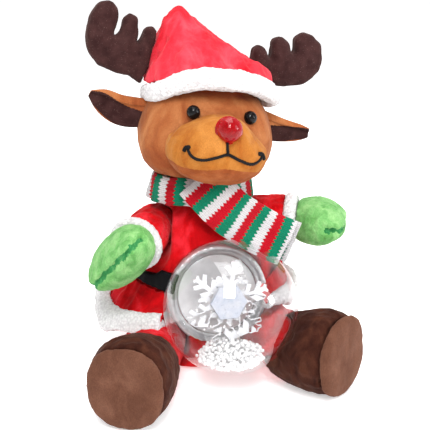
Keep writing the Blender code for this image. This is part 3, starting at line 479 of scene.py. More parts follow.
def wrinkled(obj, depth, size, stretch=EVEN, seed=0.0, sharp=True):
    """Soft folds pressed along the surface's own normals."""
    points = coordinates(obj.data)
    ways = normals(obj.data)
    offset = Vector((seed, seed * 0.7, -seed))
    heights = np.empty(len(points))
    for i, point in enumerate(points):
        place = Vector((point[0] * stretch[0], point[1] * stretch[1], point[2] * stretch[2])) / size
        value = noise.fractal(place + offset, 0.9, 2.0, 3)
        heights[i] = -abs(value) if sharp else value
    heights -= heights.mean()
    set_coordinates(obj.data, points + ways * heights[:, None] * depth)
    return obj


def pushed(obj, rule):
    """Moves every point by a rule of (points, normals) -> moves."""
    points = coordinates(obj.data)
    set_coordinates(obj.data, points + rule(points, normals(obj.data)))
    return obj


def bump_at(points, centre, reach):
    """1 at a place, falling smoothly to 0 at the reach."""
    gap = np.linalg.norm(points - np.array(centre), axis=1) / reach
    return np.exp(-(gap**2) * 2.0)[:, None]


def groove_along(points, path, reach):
    """1 on a line of places, falling smoothly away from it."""
    line = np.array([tuple(point) for point in path])
    best = np.full(len(points), 1e9)
    for a, b in zip(line[:-1], line[1:]):
        run = b - a
        share = np.clip(((points - a) @ run) / max(run @ run, 1e-12), 0, 1)
        best = np.minimum(best, np.linalg.norm(points - a - share[:, None] * run, axis=1))
    return np.exp(-((best / reach) ** 2))[:, None]


def grooved(obj, depth, path, reach):
    """Presses a line in, or raises it as a ridge, along the surface's normals."""
    return pushed(obj, lambda p, n: n * depth * groove_along(p, path, reach))


def curve_through(points, count):
    """A smooth run of points through the given ones."""
    given = np.array([tuple(point) for point in points], float)
    full = np.vstack([2 * given[0] - given[1], given, 2 * given[-1] - given[-2]])
    out = []
    for t in np.linspace(0, len(given) - 1, count):
        i = min(int(t), len(given) - 2)
        u = t - i
        a, b, c, d = full[i : i + 4]
        place = 0.5 * (2 * b + (c - a) * u + (2 * a - 5 * b + 4 * c - d) * u**2)
        out.append(Vector(place + 0.5 * (3 * b - a - 3 * c + d) * u**3))
    return out


def grid_faces(rows, count, wrap=False):
    """Quads between neighbouring rings of points, and from the last ring to the first if wrapped."""
    faces = []
    for i in range(rows if wrap else rows - 1):
        here = i * count
        there = (i + 1) % rows * count
        for k in range(count):
            after = (k + 1) % count
            faces.append((here + k, there + k, there + after, here + after))
    return faces


def cap_faces(rows, count):
    last = (rows - 1) * count
    return [tuple(range(count)), tuple(reversed(range(last, last + count)))]


def faced_outward(obj, merge=False):
    work = bmesh.new()
    work.from_mesh(obj.data)
    if merge:
        bmesh.ops.remove_doubles(work, verts=work.verts, dist=1e-6)
    bmesh.ops.recalc_face_normals(work, faces=work.faces)
    work.to_mesh(obj.data)
    work.free()
    return obj


def heading(path, i):
    return (path[min(i + 1, len(path) - 1)] - path[max(i - 1, 0)]).normalized()


def tube(name, path, radii, paint, sides):
    """A round cord along a path, with a radius for each point."""
    count = len(path)
    points = []
    across = None
    for i, place in enumerate(path):
        ahead = heading(path, i)
        if across is None:
            across = ahead.orthogonal().normalized()
        across = (across - ahead * across.dot(ahead)).normalized()
        other = ahead.cross(across)
        for k in range(sides):
            angle = 2 * pi * k / sides
            points.append(place + (across * cos(angle) + other * sin(angle)) * radii[i])
    faces = [(a, d, c, b) for a, b, c, d in grid_faces(count, sides)]
    faces += [cap[::-1] for cap in cap_faces(count, sides)]
    return from_points(name, points, faces, paint)


def arc(radius, height, start, end, count, lift=0.0):
    """(radius, height) places along an oval arc, its angle measured from the axis."""
    return [(radius * sin(a), lift + height * cos(a)) for a in np.linspace(start, end, count)]


def turned(name, profile, place, paint, steps, closed=False, scallop=None):
    """A profile of (radius, height) turned about the place matrix's Z, its edge scalloped if asked."""
    points = []
    for radius, height in profile:
        for k in range(steps):
            angle = 2 * pi * k / steps
            lift = scallop(angle, height) if scallop else 0.0
            points.append(place @ Vector((radius * cos(angle), radius * sin(angle), height + lift)))
    return faced_outward(from_points(name, points, grid_faces(len(profile), steps, closed), paint), True)


def joined(name, objects):
    """Several meshes as one, each keeping its own material."""
    work = bmesh.new()
    paints = []
    for obj in objects:
        start = len(work.faces)
        work.from_mesh(obj.data)
        work.faces.ensure_lookup_table()
        base = len(paints)
        paints.extend(obj.data.materials)
        for face in work.faces[start:]:
            face.material_index += base
    mesh = bpy.data.meshes.new(name)
    work.to_mesh(mesh)
    work.free()
    for obj in objects:
        bpy.data.objects.remove(obj)
    return new_object(name, mesh, *paints)


def surface_of(obj):
    graph = bpy.context.evaluated_depsgraph_get()
    return BVHTree.FromObject(obj, graph)


def settled(obj, body, slot, *nodes, fill=None):
    """Puts a finished piece on its body, in place of its CAD nodes; its slot is not used."""
    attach(obj, body)
    if nodes:
        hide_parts(*nodes)


def repaint(obj, paint, test):
    """A second material on the faces whose centres pass a test."""
    obj.data.materials.append(paint)
    index = len(obj.data.materials) - 1
    for polygon in obj.data.polygons:
        if test(polygon.center, polygon.normal):
            polygon.material_index = index


def frame_at(place, axis):
    return Matrix.Translation(place) @ Z.rotation_difference(axis).to_matrix().to_4x4()


# ---- body


def flared(points, ways):
    """The skirt stands out and hangs lower over the right thigh, and lies close on the other side."""
    low = np.clip((0.098 - points[:, 2]) / 0.035, 0, 1)[:, None]
    right = np.clip((-points[:, 0] - 0.02) / 0.05, 0, 1)[:, None]
    left = np.clip((points[:, 0] - 0.03) / 0.035, 0, 1)[:, None]
    front = np.clip(0.3 - points[:, 1:2] / 0.05, 0, 1)
    out = low * right * front * np.array((-0.013, -0.008, -0.0095))
    return out + low * left * np.array((-0.017, 0.0, 0.0015))


def make_jacket():
    jacket = soft_copy("jacket", "torso", "suit", 0.0024, 8)

    def slimmer(p, n):
        level = np.exp(-(((p[:, 2:3] - 0.085) / 0.032) ** 2))
        left = np.clip((p[:, 0:1] - 0.04) / 0.03, 0, 1)
        front = np.clip(0.6 - p[:, 1:2] / 0.05, 0, 1)
        return level * left * front * np.array((-0.01, 0.0, 0.0))

    pushed(jacket, slimmer)
    wrinkled(jacket, 0.0014, 0.034, (1.0, 1.0, 0.5), 3.1, False)
    settled(jacket, "torso", "red_plush", "torso", fill=0.8)
    skirt = soft_copy("skirt", "jacket_skirt", "suit", 0.0016, 5)
    wrinkled(skirt, 0.0044, 0.022, (1.0, 1.0, 0.25), 7.7)
    pushed(skirt, flared)
    settled(skirt, "torso", "red_plush", "jacket_skirt")
    hem = soft_copy("hem_band", "jacket_hem", "white", 0.0016, 12)
    pushed(hem, lambda p, n: n * 0.0012)
    pushed(hem, flared)
    wrinkled(hem, 0.0016, 0.018, seed=2.0, sharp=False)
    wrinkled(hem, 0.0007, 0.0022, seed=5.0, sharp=False)
    door_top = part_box("battery_door")[1][2] + 0.0012

    def clear_of_door(p, n):
        behind = (p[:, 1:2] > 0.045) & (np.abs(p[:, 0:1]) < 0.048)
        return behind * np.clip(door_top - p[:, 2:3], 0, 0.01) * np.array((0.0, 0.0, 1.0))

    pushed(hem, clear_of_door)
    settled(hem, "torso", "white_fleece", "jacket_hem", fill=0.4)
    belt = soft_copy("belt_ribbon", "belt", "satin", 0.0011, 2)
    low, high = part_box("belt")

    def deeper(p, n):
        share = np.clip((high[2] - 0.004 - p[:, 2]) / (high[2] - low[2]), 0, 1)[:, None]
        return share * np.array((0.0, 0.0, -0.006)) + n * np.array((1.0, 1.0, 0.0)) * 0.0006

    pushed(belt, deeper)
    wrinkled(belt, 0.001, 0.016, (1.0, 1.0, 0.3), 1.5, False)
    settled(belt, "torso", "black_satin", "belt")


def ribbon_ring(centre, thick_way, wide_way, thick, wide, step):
    """A flat rounded ring of points with their distance across the ribbon."""
    half = max(8, int(wide / step))
    ring = []
    for k in range(2 * half):
        angle = pi * (k + 0.5) / half
        c = cos(angle)
        s = sin(angle)
        across = copysign(abs(c) ** 0.55, c) * wide / 2
        out = copysign(abs(s) ** 0.7, s) * thick / 2
        ring.append((centre + wide_way * across + thick_way * out, across))
    return ring


def knitted(name, frames, closed):
    """A knitted ribbon through (centre, thick way, wide way, thick, wide) frames, with real stitches."""
    points = []
    lay = []
    along = 0.0
    count = 0
    for i, (centre, thick_way, wide_way, thick, wide) in enumerate(frames):
        if i:
            along += (centre - frames[i - 1][0]).length
        ring = ribbon_ring(centre, thick_way, wide_way, thick, wide, 0.0006)
        count = len(ring)
        for place, across in ring:
            wave = abs((across / WALE) % 1.0 - 0.5) * 2
            row = sin(pi * (((along + 0.0035 * (1 - wave)) / STITCH_ROW) % 1.0))
            lift = 0.0004 * (1 - wave) ** 0.5 + 0.00025 * row
            fold = thick_way * 0.0011 * sin(across / 0.006 + along / 0.016)
            points.append(place + fold + (place - centre).normalized() * lift)
            lay.append((along, across))
    rows = len(frames)
    faces = grid_faces(rows, count, closed)
    if not closed:
        faces += cap_faces(rows, count)
    made = from_points(name, points, faces, M["knit"])
    uv = made.data.uv_layers.new(name="weave")
    total = along + (frames[0][0] - frames[-1][0]).length
    for polygon in made.data.polygons:
        wraps = closed and polygon.index >= (rows - 1) * count
        for loop in polygon.loop_indices:
            u, v = lay[made.data.loops[loop].vertex_index]
            uv.data[loop].uv = (u + total if wraps and u == 0.0 else u, v)
    return faced_outward(made)


def make_scarf():
    rows = 330
    centre = Vector((NECK.x - 0.0095, -0.001, NECK.z + 0.005))
    frames = []
    for i in range(rows):
        angle = 2 * pi * i / rows
        out = Vector((cos(angle), sin(angle), 0.0))
        sag = noise.noise(Vector((cos(angle) * 2.2, sin(angle) * 2.2, 4.0)))
        ripple = noise.noise(Vector((cos(angle) * 6, sin(angle) * 6, 9.0)))
        reach = 0.0015 * sag + 0.0012 * ripple
        rise = 0.002 * sag - 0.002 * out.y
        place = centre + Vector(((0.044 + reach) * out.x, (0.0415 + reach) * out.y, rise))
        lean = (Z - out * (0.3 + 0.15 * ripple)).normalized()
        side = Vector((-out.y, out.x, 0.0))
        frames.append((place, lean.cross(side).normalized(), lean, 0.0085, 0.0245 + 0.002 * ripple))
    loop = knitted("scarf_wrap", frames, True)
    settled(loop, "torso", "scarf_knit", "scarf_loop", fill=0.2)
    low = NECK.z
    route = (
        (-0.018, -0.044, 0.02), (-0.0105, -0.0535, 0.0115), (0.004, -0.059, -0.0045),
        (0.018, -0.0605, -0.0155), (0.038, -0.062, -0.029), (0.0595, -0.065, -0.0395),
    )
    places = [Vector((x, y, low + z)) for x, y, z in route]
    tail = make_tail("scarf_end", places, 0.0, 0.043)
    under = [place + Vector((0.001, 0.006, 0.0)) for place in places[3:]]
    under[-1] += Vector((0.0065, 0.0, -0.0015))
    beneath = make_tail("scarf_under", under, 0.5, 0.0385)
    whole = joined("scarf_tail_knit", [tail, beneath])
    settled(whole, "torso", "scarf_knit", "scarf_tail", fill=0.2)


def make_tail(name, places, turn, wide):
    """One hanging end of the scarf, its width swinging from level to nearly upright."""
    path = curve_through(places, 150)
    frames = []
    for i, place in enumerate(path):
        t = turn + (1 - turn) * (i / (len(path) - 1))
        level = Vector((0.9, -0.05, 0.42)).normalized()
        steep = Vector((0.4, 0.02, 0.92)).normalized()
        wide_way = level.lerp(steep, min(1.0, 1.5 * t)).normalized()
        ahead = heading(path, i)
        wide_way = (wide_way - ahead * wide_way.dot(ahead)).normalized()
        wave = 0.0026 * sin(9 * t + 1.0) + 0.002 * noise.noise(Vector((t * 5, turn, 2.0)))
        frames.append((place + Vector((0, wave, 0)), ahead.cross(wide_way), wide_way, 0.0042, wide))
    return knitted(name, frames, False)


# ---- head


def make_head():
    head = soft_copy("head_plush", "head", "tan", 0.0022, 6)
    puffed(head, 0.001, 4.0)
    brow = middle("right_eye").z

    def fuller(p, n):
        low_left = bump_at(p, (NECK.x - 0.048, -0.02, NECK.z + 0.032), 0.04)
        right = bump_at(p, (NECK.x + 0.058, -0.01, brow - 0.01), 0.05)
        return -0.0085 * low_left * np.array((1.0, 0.2, 0.15)) - 0.0075 * right * np.array((1.0, 0.0, 0.0))

    pushed(head, fuller)
    wrinkled(head, 0.0012, 0.034, seed=4.4)
    cheek = ((-0.048, -0.03, 0.02), (-0.05, -0.034, 0.055))
    chin_seam = [Vector((NECK.x + x, y, NECK.z + z)) for x, y, z in cheek]
    grooved(head, -0.0012, chin_seam, 0.0018)
    settled(head, "head", "tan_plush", "head", fill=0.9)
    muzzle = divided(soft_copy("muzzle_plush", "muzzle", "golden", 0.0016, 6))
    nose = middle("nose_lens")
    mid = nose.x

    def raised(p, n):
        share = np.clip((p[:, 2] - (nose.z - 0.016)) / 0.022, 0, 1.2)[:, None]
        left = np.clip(-(p[:, 0] - mid) / 0.03, 0, 1)[:, None]
        right = np.clip((p[:, 0] - mid - 0.004) / 0.024, 0, 1)[:, None]
        lift = np.array((0.0, -0.001, 0.0058)) + left * np.array((-0.002, -0.003, 0.001))
        return share * (lift + right * np.array((0.002, -0.006, 0.007)))

    pushed(muzzle, raised)
    philtrum = [Vector((mid, nose.y - 0.004, nose.z - 0.006)), Vector((mid, nose.y - 0.003, nose.z - 0.024))]
    bridge = [nose + Vector((0.0, 0.004, 0.006)), nose + Vector((0.001, 0.04, 0.02))]
    fold = [nose + Vector((-0.01, 0.004, -0.002)), nose + Vector((-0.02, 0.01, -0.022))]
    other = [nose + Vector((0.01, 0.004, -0.002)), nose + Vector((0.024, 0.012, -0.016))]
    seam = chin_line()
    for depth, path, reach in (
        (-0.0022, philtrum, 0.005), (0.0012, bridge, 0.006), (-0.0012, fold, 0.004), (-0.0012, other, 0.004),
        (-0.001, seam, 0.0011),
    ):
        grooved(muzzle, depth, path, reach)
    wrinkled(muzzle, 0.0009, 0.02, seed=9.1)
    line = np.array([tuple(point) for point in seam])

    def below(centre, normal):
        return centre.z < np.interp(centre.x, line[:, 0], line[:, 2]) and centre.z < nose.z - 0.02

    repaint(muzzle, M["chin"], below)
    settled(muzzle, "head", "golden_plush", "muzzle", fill=0.9)
    make_mouth(muzzle)
    make_eyes()
    make_nose()


def chin_line():
    nose = middle("nose_lens")
    shape = (
        (-0.043, 0.02, -0.032), (-0.036, 0.014, -0.036), (-0.018, 0.002, -0.037), (-0.002, -0.001, -0.036),
        (0.012, 0.001, -0.039), (0.03, 0.012, -0.044), (0.04, 0.024, -0.046),
    )
    return curve_through([nose + Vector(step) for step in shape], 40)


def make_mouth(muzzle):
    """Embroidered smile, laid on the muzzle's surface."""
    skin = surface_of(muzzle)
    nose = middle("nose_lens")

    def laid(shape, count):
        run = curve_through([Vector((x, -0.2, z)) for x, z in shape], count)
        out = []
        for place in run:
            start = Vector((nose.x + place.x, -0.2, nose.z + place.z))
            found = skin.ray_cast(start, Y)[0]
            if found:
                out.append(found + Vector((0, -0.0003, 0)))
        return out

    smile = (
        (-0.0332, -0.0185), (-0.0308, -0.0235), (-0.0264, -0.0265), (-0.0195, -0.027), (-0.0121, -0.0252),
        (-0.0064, -0.0237), (-0.0005, -0.023), (0.0036, -0.0248), (0.01, -0.0285), (0.0199, -0.0332),
        (0.0271, -0.033), (0.0317, -0.0302), (0.0326, -0.0275),
    )
    lines = (
        ("smile", smile, 90, 0.00135),
        ("lip", ((-0.0011, -0.0095), (-0.0008, -0.017), (-0.0004, -0.0228)), 24, 0.00125),
        ("right_corner", ((-0.0357, -0.021), (-0.0346, -0.0178), (-0.0308, -0.0164)), 16, 0.0018),
        ("left_corner", ((0.0284, -0.0255), (0.0333, -0.0273), (0.0357, -0.033)), 16, 0.0017),
    )
    made = []
    for name, shape, count, radius in lines:
        path = laid(shape, count)
        radii = [radius * (0.85 + 0.3 * (i % 2)) for i in range(len(path))]
        radii[0] = radii[-1] = radius * 0.4
        made.append(tube(name, path, radii, M["thread"], 8))
    mouth = joined("mouth_embroidery", made)
    settled(mouth, "head", "black_satin")


def make_eyes():
    for side in ("right", "left"):
        centre = middle(f"{side}_eye")
        if side == "left":
            centre += Vector((-0.0022, 0.0036, 0.0006))
        place = frame_at(centre, Vector((0, -1, 0.15)).normalized())
        profile = arc(0.006, 0.0058, 0, pi * 0.5, 14)
        profile += [(0.0062, -0.0004), (0.006, -0.001), (0.0046, -0.0012), (0.0, -0.003)]
        eye = turned(f"{side}_eye_dome", profile, place, M["eye"], 48)
        settled(eye, "head", "eye_black", f"{side}_eye")


def make_nose():
    centre = middle("nose_lens") + Vector((0.0015, -0.0012, -0.001))
    out = Vector((0.0, -0.94, 0.34)).normalized()
    base = centre - out * 0.0022
    place = frame_at(base, out)
    outer = arc(0.011, 0.0112, 0, 1.72, 20)
    outer += [(0.012, -0.0022), (0.0122, -0.0032), (0.0112, -0.0038)]
    inner = arc(0.0094, 0.0096, 1.72, 0, 16)
    lens = turned("nose_dome_lens", outer + inner, place, M["nose"], 56)
    settled(lens, "head", "red_lens", "nose_lens")
    bulb = [(0.0, 0.0078)] + arc(0.0042, 0.0042, 0.1, 1.57, 10, 0.0036)
    bulb += [(0.0042, -0.002), (0.005, -0.0024), (0.005, -0.0032), (0.0, -0.0034)]
    bulb = [(r * 1.15, h * 1.1) for r, h in bulb]
    led = turned("nose_bulb", bulb, place, M["led"], 32)
    disc = ((0.0, -0.002), (0.0108, -0.002), (0.0108, -0.0034), (0.0, -0.0034))
    back = turned("nose_back", disc, place, M["socket"], 40)
    led = joined("nose_bulb_and_back", [led, back])
    settled(led, "head", "led_dome", "nose_led")


def make_hat():
    hat = soft_copy("hat_cone", "hat", "hat", 0.0018, 8)
    low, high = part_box("hat")
    tip = Vector((low[0] + 0.035, 0.008, high[2]))
    root = low[2]

    def line(side, *steps):
        return [Vector((side + x, y, root + z)) for x, y, z in steps]

    dent = line(low[0], (0.013, -0.05, 0.01), (0.015, -0.036, 0.045))
    crease = line(low[0], (0.03, -0.055, 0.016), (0.075, -0.05, 0.03))
    ridge = line(low[0], (0.024, -0.05, 0.018), (0.028, -0.03, 0.06)) + [tip]
    fold = line(high[0], (-0.03, -0.045, 0.018), (-0.05, -0.03, 0.048))

    def slumped(p, n):
        height = np.clip(p[:, 2:3] - root, 0, None)
        above = np.clip((height - 0.006) / 0.014, 0, 1)
        right = bump_at(p, (high[0] - 0.014, -0.012, root + 0.03), 0.03) * above
        shoulder = bump_at(p, (high[0] - 0.04, -0.015, root + 0.055), 0.028)
        left = bump_at(p, (low[0] + 0.002, -0.02, root + 0.008), 0.026)
        return (
            height * np.array((0.0, 0.0, -0.05))
            + right * np.array((0.0095, -0.002, 0.0055))
            + shoulder * np.array((0.0045, -0.001, 0.003))
            + left * np.array((-0.0055, -0.002, -0.005))
        )

    pushed(hat, slumped)
    grooved(hat, -0.009, dent, 0.0055)
    grooved(hat, 0.005, ridge, 0.0065)
    grooved(hat, -0.0035, crease, 0.005)
    grooved(hat, -0.004, fold, 0.006)
    wrinkled(hat, 0.005, 0.03, (1.2, 1.2, 0.6), 6.3)
    wrinkled(hat, 0.0016, 0.012, (1.2, 1.2, 0.8), 2.3)
    divided(hat)
    settled(hat, "head", "red_plush", "hat", fill=0.3)
    band = soft_copy("hat_brim", "hat_band", "white", 0.0016, 8)

    def arched(p, n):
        side = np.clip(np.abs(p[:, 0] - 0.0045) / 0.056, 0, 1)[:, None]
        front = np.clip(-p[:, 1] / 0.05, 0, 1)[:, None]
        left = (p[:, 0:1] < 0) * 1.0
        down = 0.0038 * front * (1 - side**2) - (0.0035 + 0.0055 * left) * side**3
        return down * np.array((0.0, 0.0, 1.0)) + n * np.array((1.0, 1.0, 0.25)) * 0.0012

    pushed(band, arched)
    wrinkled(band, 0.0014, 0.02, seed=1.0, sharp=False)
    wrinkled(band, 0.0006, 0.0024, seed=5.0, sharp=False)
    settled(band, "head", "white_fleece", "hat_band", fill=0.6)


def make_ear(side, spine, tall):
    """A folded leaf: tan outside and above, the dark lining in the open cup."""
    low = NECK.z
    rows = 60
    count = 120
    path = curve_through([Vector((x, y, low + z)) for x, y, z in spine], rows)
    heights = curve_through([Vector((k, value, 0)) for k, value in enumerate(tall)], rows)
    points = []
    for i, place in enumerate(path):
        half = max(0.0006, heights[i].y)
        ahead = heading(path, i)
        up = ahead.cross(Y).normalized()
        if up.z < 0:
            up = -up
        t = i / (rows - 1)
        cup = 0.007 * sin(pi * min(1.0, 0.15 + 0.85 * (1 - t)))
        for k in range(count):
            angle = 2 * pi * k / count
            c = cos(angle)
            s = sin(angle)
            thick = 0.005 * (0.35 + 0.65 * (1 - t)) + 0.0012
            inside = cup * max(0.0, -s) ** 0.8 * (1.0 if abs(c + 0.25) < 0.75 else 0.25)
            rise = c * half
            points.append(place + up * rise + Y * (s * thick + inside))
    faces = grid_faces(rows, count) + [cap[::-1] for cap in cap_faces(rows, count)]
    ear = faced_outward(from_points(f"{side}_ear_leaf", points, faces, M["tan"]))
    lining = set()
    for i in range(6, rows - 1):
        t = i / (rows - 1)
        edge = -0.1 + 0.95 * t**0.8
        for k in range(count):
            angle = 2 * pi * (k + 0.5) / count
            if sin(angle) < 0.1 and cos(angle) < edge:
                lining.add(i * count + k)
    ear.data.materials.append(M["dark"])
    for polygon in ear.data.polygons:
        if polygon.index in lining:
            polygon.material_index = 1
    more = ear.modifiers.new("soft", "SMOOTH")
    more.iterations = 2
    applied(ear)
    divided(ear)
    settled(ear, "head", "tan_plush", f"{side}_ear", fill=0.3)


def make_antlers():
    for side in ("right", "left"):
        antler = soft_copy(f"{side}_antler_plush", f"{side}_antler", "dark", 0.0021, 7)
        centre = np.array(middle(f"{side}_antler"))
        puffed(antler, 0.002, 5.0)

        def rule(p, n):
            edge = np.exp(-(((p[:, 1] - 0.006) / 0.0011) ** 2))[:, None]
            front = 1 - np.abs(n[:, 1:2])
            return -n * 0.0008 * edge * front + n * np.array((1.0, 0.6, 1.0)) * 0.0014 + (centre - p) * 0.035

        pushed(antler, rule)
        wrinkled(antler, 0.0016, 0.016, seed=3.7 if side == "left" else 8.2)
        divided(antler)
        settled(antler, "head", "dark_brown_fleece", f"{side}_antler", fill=0.8)


# ---- limbs


def sewn(piece, node, paint, mesh, puff, fold, body, slot, fill):
    """A limb piece: the CAD shape evened out, blown up if it is stuffed, wrinkled and settled."""
    obj = soft_copy(piece, node, paint, *mesh)
    if puff:
        puffed(obj, puff, 4.0)
    wrinkled(obj, *fold)
    if puff:
        divided(obj)
    settled(obj, body, slot, node, fill=fill)


def make_arms():
    for side, seed in (("right", 1.9), ("left", 5.2)):
        body = f"{side}_arm"
        node = f"{side}_sleeve"
        fold = (0.0028, 0.018, EVEN, seed)
        sewn(f"{node}_plush", node, "suit", (0.0018, 6), None, fold, body, "red_plush", 0.6)
        node = f"{side}_cuff"
        fold = (0.0007, 0.0024, EVEN, 4.0, False)
        sewn(f"{node}_band", node, "white", (0.0014, 5), None, fold, body, "white_fleece", 0.5)
        make_mitten(side, body)


def make_mitten(side, body):
    mitten = soft_copy(f"{side}_mitten_plush", f"{side}_mitten", "green", 0.002, 6)
    puffed(mitten, 0.0018, 5.0)
    divided(mitten)
    hand = middle(f"{side}_mitten")
    along = (hand - SHOULDER[side]).normalized()
    long_way = Vector((-0.73, 0.0, -0.68)) if side == "right" else Vector((0.36, 0.93, 0.0))
    wide = (long_way - along * long_way.dot(along)).normalized()

    def seam_line():
        skin = surface_of(mitten)
        found = []
        for degrees in range(-78, 79, 6):
            angle = radians(degrees)
            way = along * cos(angle) + wide * sin(angle)
            place = skin.ray_cast(hand + way * 0.1, -way)[0]
            if place:
                found.append(place)
        return found

    seam = seam_line()
    grooved(mitten, -0.0036, seam, 0.0036)
    wrinkled(mitten, 0.0014, 0.011, seed=2.9)
    # Painted shade: faces near the pressed-in seam crease get the darker green crease pile.
    line = np.array([tuple(point) for point in curve_through(seam_line(), 160)])

    def in_crease_shade(centre, normal):
        gap = np.linalg.norm(line - np.array(centre), axis=1).min()
        return gap < 0.0026 + 0.0026 * noise.noise(centre * 240)

    repaint(mitten, M["crease"], in_crease_shade)
    settled(mitten, body, "green_plush", f"{side}_mitten", fill=0.8)


def make_legs():
    for side, seeds in (("right", (3.3, 2.2, 4.2)), ("left", (7.0, 6.1, 1.1))):
        body = f"{side}_leg"
        node = f"{side}_trouser_leg"
        fold = (0.003, 0.02, EVEN, seeds[0])
        sewn(f"{side}_trouser_plush", node, "suit", (0.002, 6), None, fold, body, "red_trouser_plush", 0.7)
        node = f"{side}_boot"
        fold = (0.0026, 0.02, EVEN, seeds[1])
        sewn(f"{node}_plush", node, "boot", (0.0022, 6), 0.0014, fold, body, "boot_plush", 0.9)
        node = f"{side}_sole"
        fold = (0.0012, 0.022, EVEN, seeds[2], False)
        sewn(f"{node}_plush", node, "sole", (0.0018, 8), 0.0012, fold, body, "sole_plush", 0.8)


# ---- globe


def make_globe():
    place = frame_at(GLOBE_CENTRE, GLOBE_AXIS)
    wall = 0.0018
    mouth = 0.043
    inside = GLOBE_RADIUS - wall
    outer = arc(GLOBE_RADIUS, GLOBE_RADIUS, 0.0, pi / 2 + asin(mouth / GLOBE_RADIUS), 72)
    inner = arc(inside, inside, pi / 2 + asin(mouth / inside), 0.0, 72)
    neck = [(outer[-1][0], -0.047), (inner[0][0], -0.047)]
    globe = turned("globe_dome", outer + neck + inner, place, M["globe"], 128)
    repaint(globe, M["inside"], lambda centre, normal: (centre - GLOBE_CENTRE).dot(normal) < 0)
    settled(globe, "torso", "clear_globe", "globe_shell")
    make_flake(place)
    make_collar(place)
    make_vent(place)
    make_snow()
    dress = {
        "board": ("light_board", "control_board"),
        "black_plastic": (
            "fan_housing", "housing_cover", "speaker", "battery_box", "battery_door", "paw_switch_case",
        ),
        "steel": (
            "fan_motor", "housing_screw_1", "housing_screw_2", "housing_screw_3", "motor_shaft",
            "battery_door_screw",
        ),
        "cell": ("battery_1", "battery_2", "battery_3"),
        "wire": ("battery_lead", "nose_lead_lower", "nose_lead_upper"),
        "white_plastic": ("impeller", "power_switch_knob", "paw_button"),
        "glitter": ("glitter_lens",),
    }
    for paint, nodes in dress.items():
        for node in nodes:
            mesh = NODES[node].data
            mesh.materials.clear()
            mesh.materials.append(M[paint])


def make_collar(place):
    """Silver collar with a scalloped rim round the mouth of the globe."""
    profile = (
        (0.047, -0.05), (0.0474, -0.047), (0.0468, -0.0442), (0.0452, -0.0436), (0.0425, -0.0436),
        (0.0424, -0.0474), (0.0384 + 0.0026, -0.0474), (0.0384, -0.0478), (0.0384, -0.05),
    )

    def scallop(angle, height):
        return 0.0007 * abs(sin(angle * 20)) if height > -0.0445 else 0.0

    collar = turned("silver_collar", profile, place, M["silver"], 240, True, scallop)
    settled(collar, "torso", "silver_plate", "globe_collar")


def make_vent(place):
    """Silver disc behind the flake, dished a little, with an air gap all round it."""
    profile = (
        (0.0, -0.0478), (0.01, -0.0478), (0.024, -0.0481), (0.036, -0.0484), (0.0376, -0.0486),
        (0.038, -0.049), (0.0376, -0.0494), (0.036, -0.0495), (0.0, -0.0495),
    )
    disc = turned("vent_disc", profile, place, M["silver"], 96)
    settled(disc, "torso", "silver_plate", "vent_plate")


def make_flake(place):
    """Twelve-armed white snowflake: six broad feathered arms and six clover leaves, edges rounded."""
    half_arm = (
        (11, -2.2), (17, -2.2), (23, -10.5), (26.5, -8.5), (22, -2.0), (27, -2.0), (33, -9), (36, -7),
        (32.5, -2.0), (36, -2.0), (38, -4.0), (39.6, -2.6), (38.4, 0),
    )
    half_leaf = (
        (11, -1.4), (16, -1.4), (18, -4.6), (20.5, -5.6), (22.6, -4.4), (22.8, -2.8), (25, -2.9),
        (27.2, -1.6), (28, 0),
    )
    arm, leaf = (half + tuple((x, -y) for x, y in half[-2::-1]) for half in (half_arm, half_leaf))
    outline = []
    for i in range(12):
        angle = radians(30 * i + 18)
        for along, side in leaf if i % 2 else arm:
            x = along * cos(angle) - side * sin(angle)
            y = along * sin(angle) + side * cos(angle)
            outline.append((x * 0.001, y * 0.001))
    curve = bpy.data.curves.new("flake", "CURVE")
    curve.dimensions = "2D"
    curve.fill_mode = "BOTH"
    curve.extrude = 0.0007
    curve.bevel_depth = 0.0005
    curve.bevel_resolution = 3
    curve.offset = -0.0004
    spline = curve.splines.new("POLY")
    spline.points.add(len(outline) - 1)
    for point, (x, y) in zip(spline.points, outline):
        point.co = (x, y, 0.0, 1.0)
    spline.use_cyclic_u = True
    guide = placed("flake_guide", curve)
    bpy.context.view_layer.update()
    mesh = bpy.data.meshes.new_from_object(guide.evaluated_get(bpy.context.evaluated_depsgraph_get()))
    bpy.data.objects.remove(guide)
    mesh.transform(place @ Matrix.Translation((0, 0, -0.011)))
    flake = new_object("snowflake_plate", mesh, M["flake"])
    for polygon in flake.data.polygons:
        polygon.use_smooth = False
    settled(flake, "torso", "white_plastic", "snowflake")


def bead_mesh(centres, radii):
    work = bmesh.new()
    for centre, radius in zip(centres, radii):
        place = Matrix.Translation(centre)
        bmesh.ops.create_icosphere(work, subdivisions=2, radius=radius, matrix=place)
    mesh = bpy.data.meshes.new("beads")
    work.to_mesh(mesh)
    work.free()
    return mesh


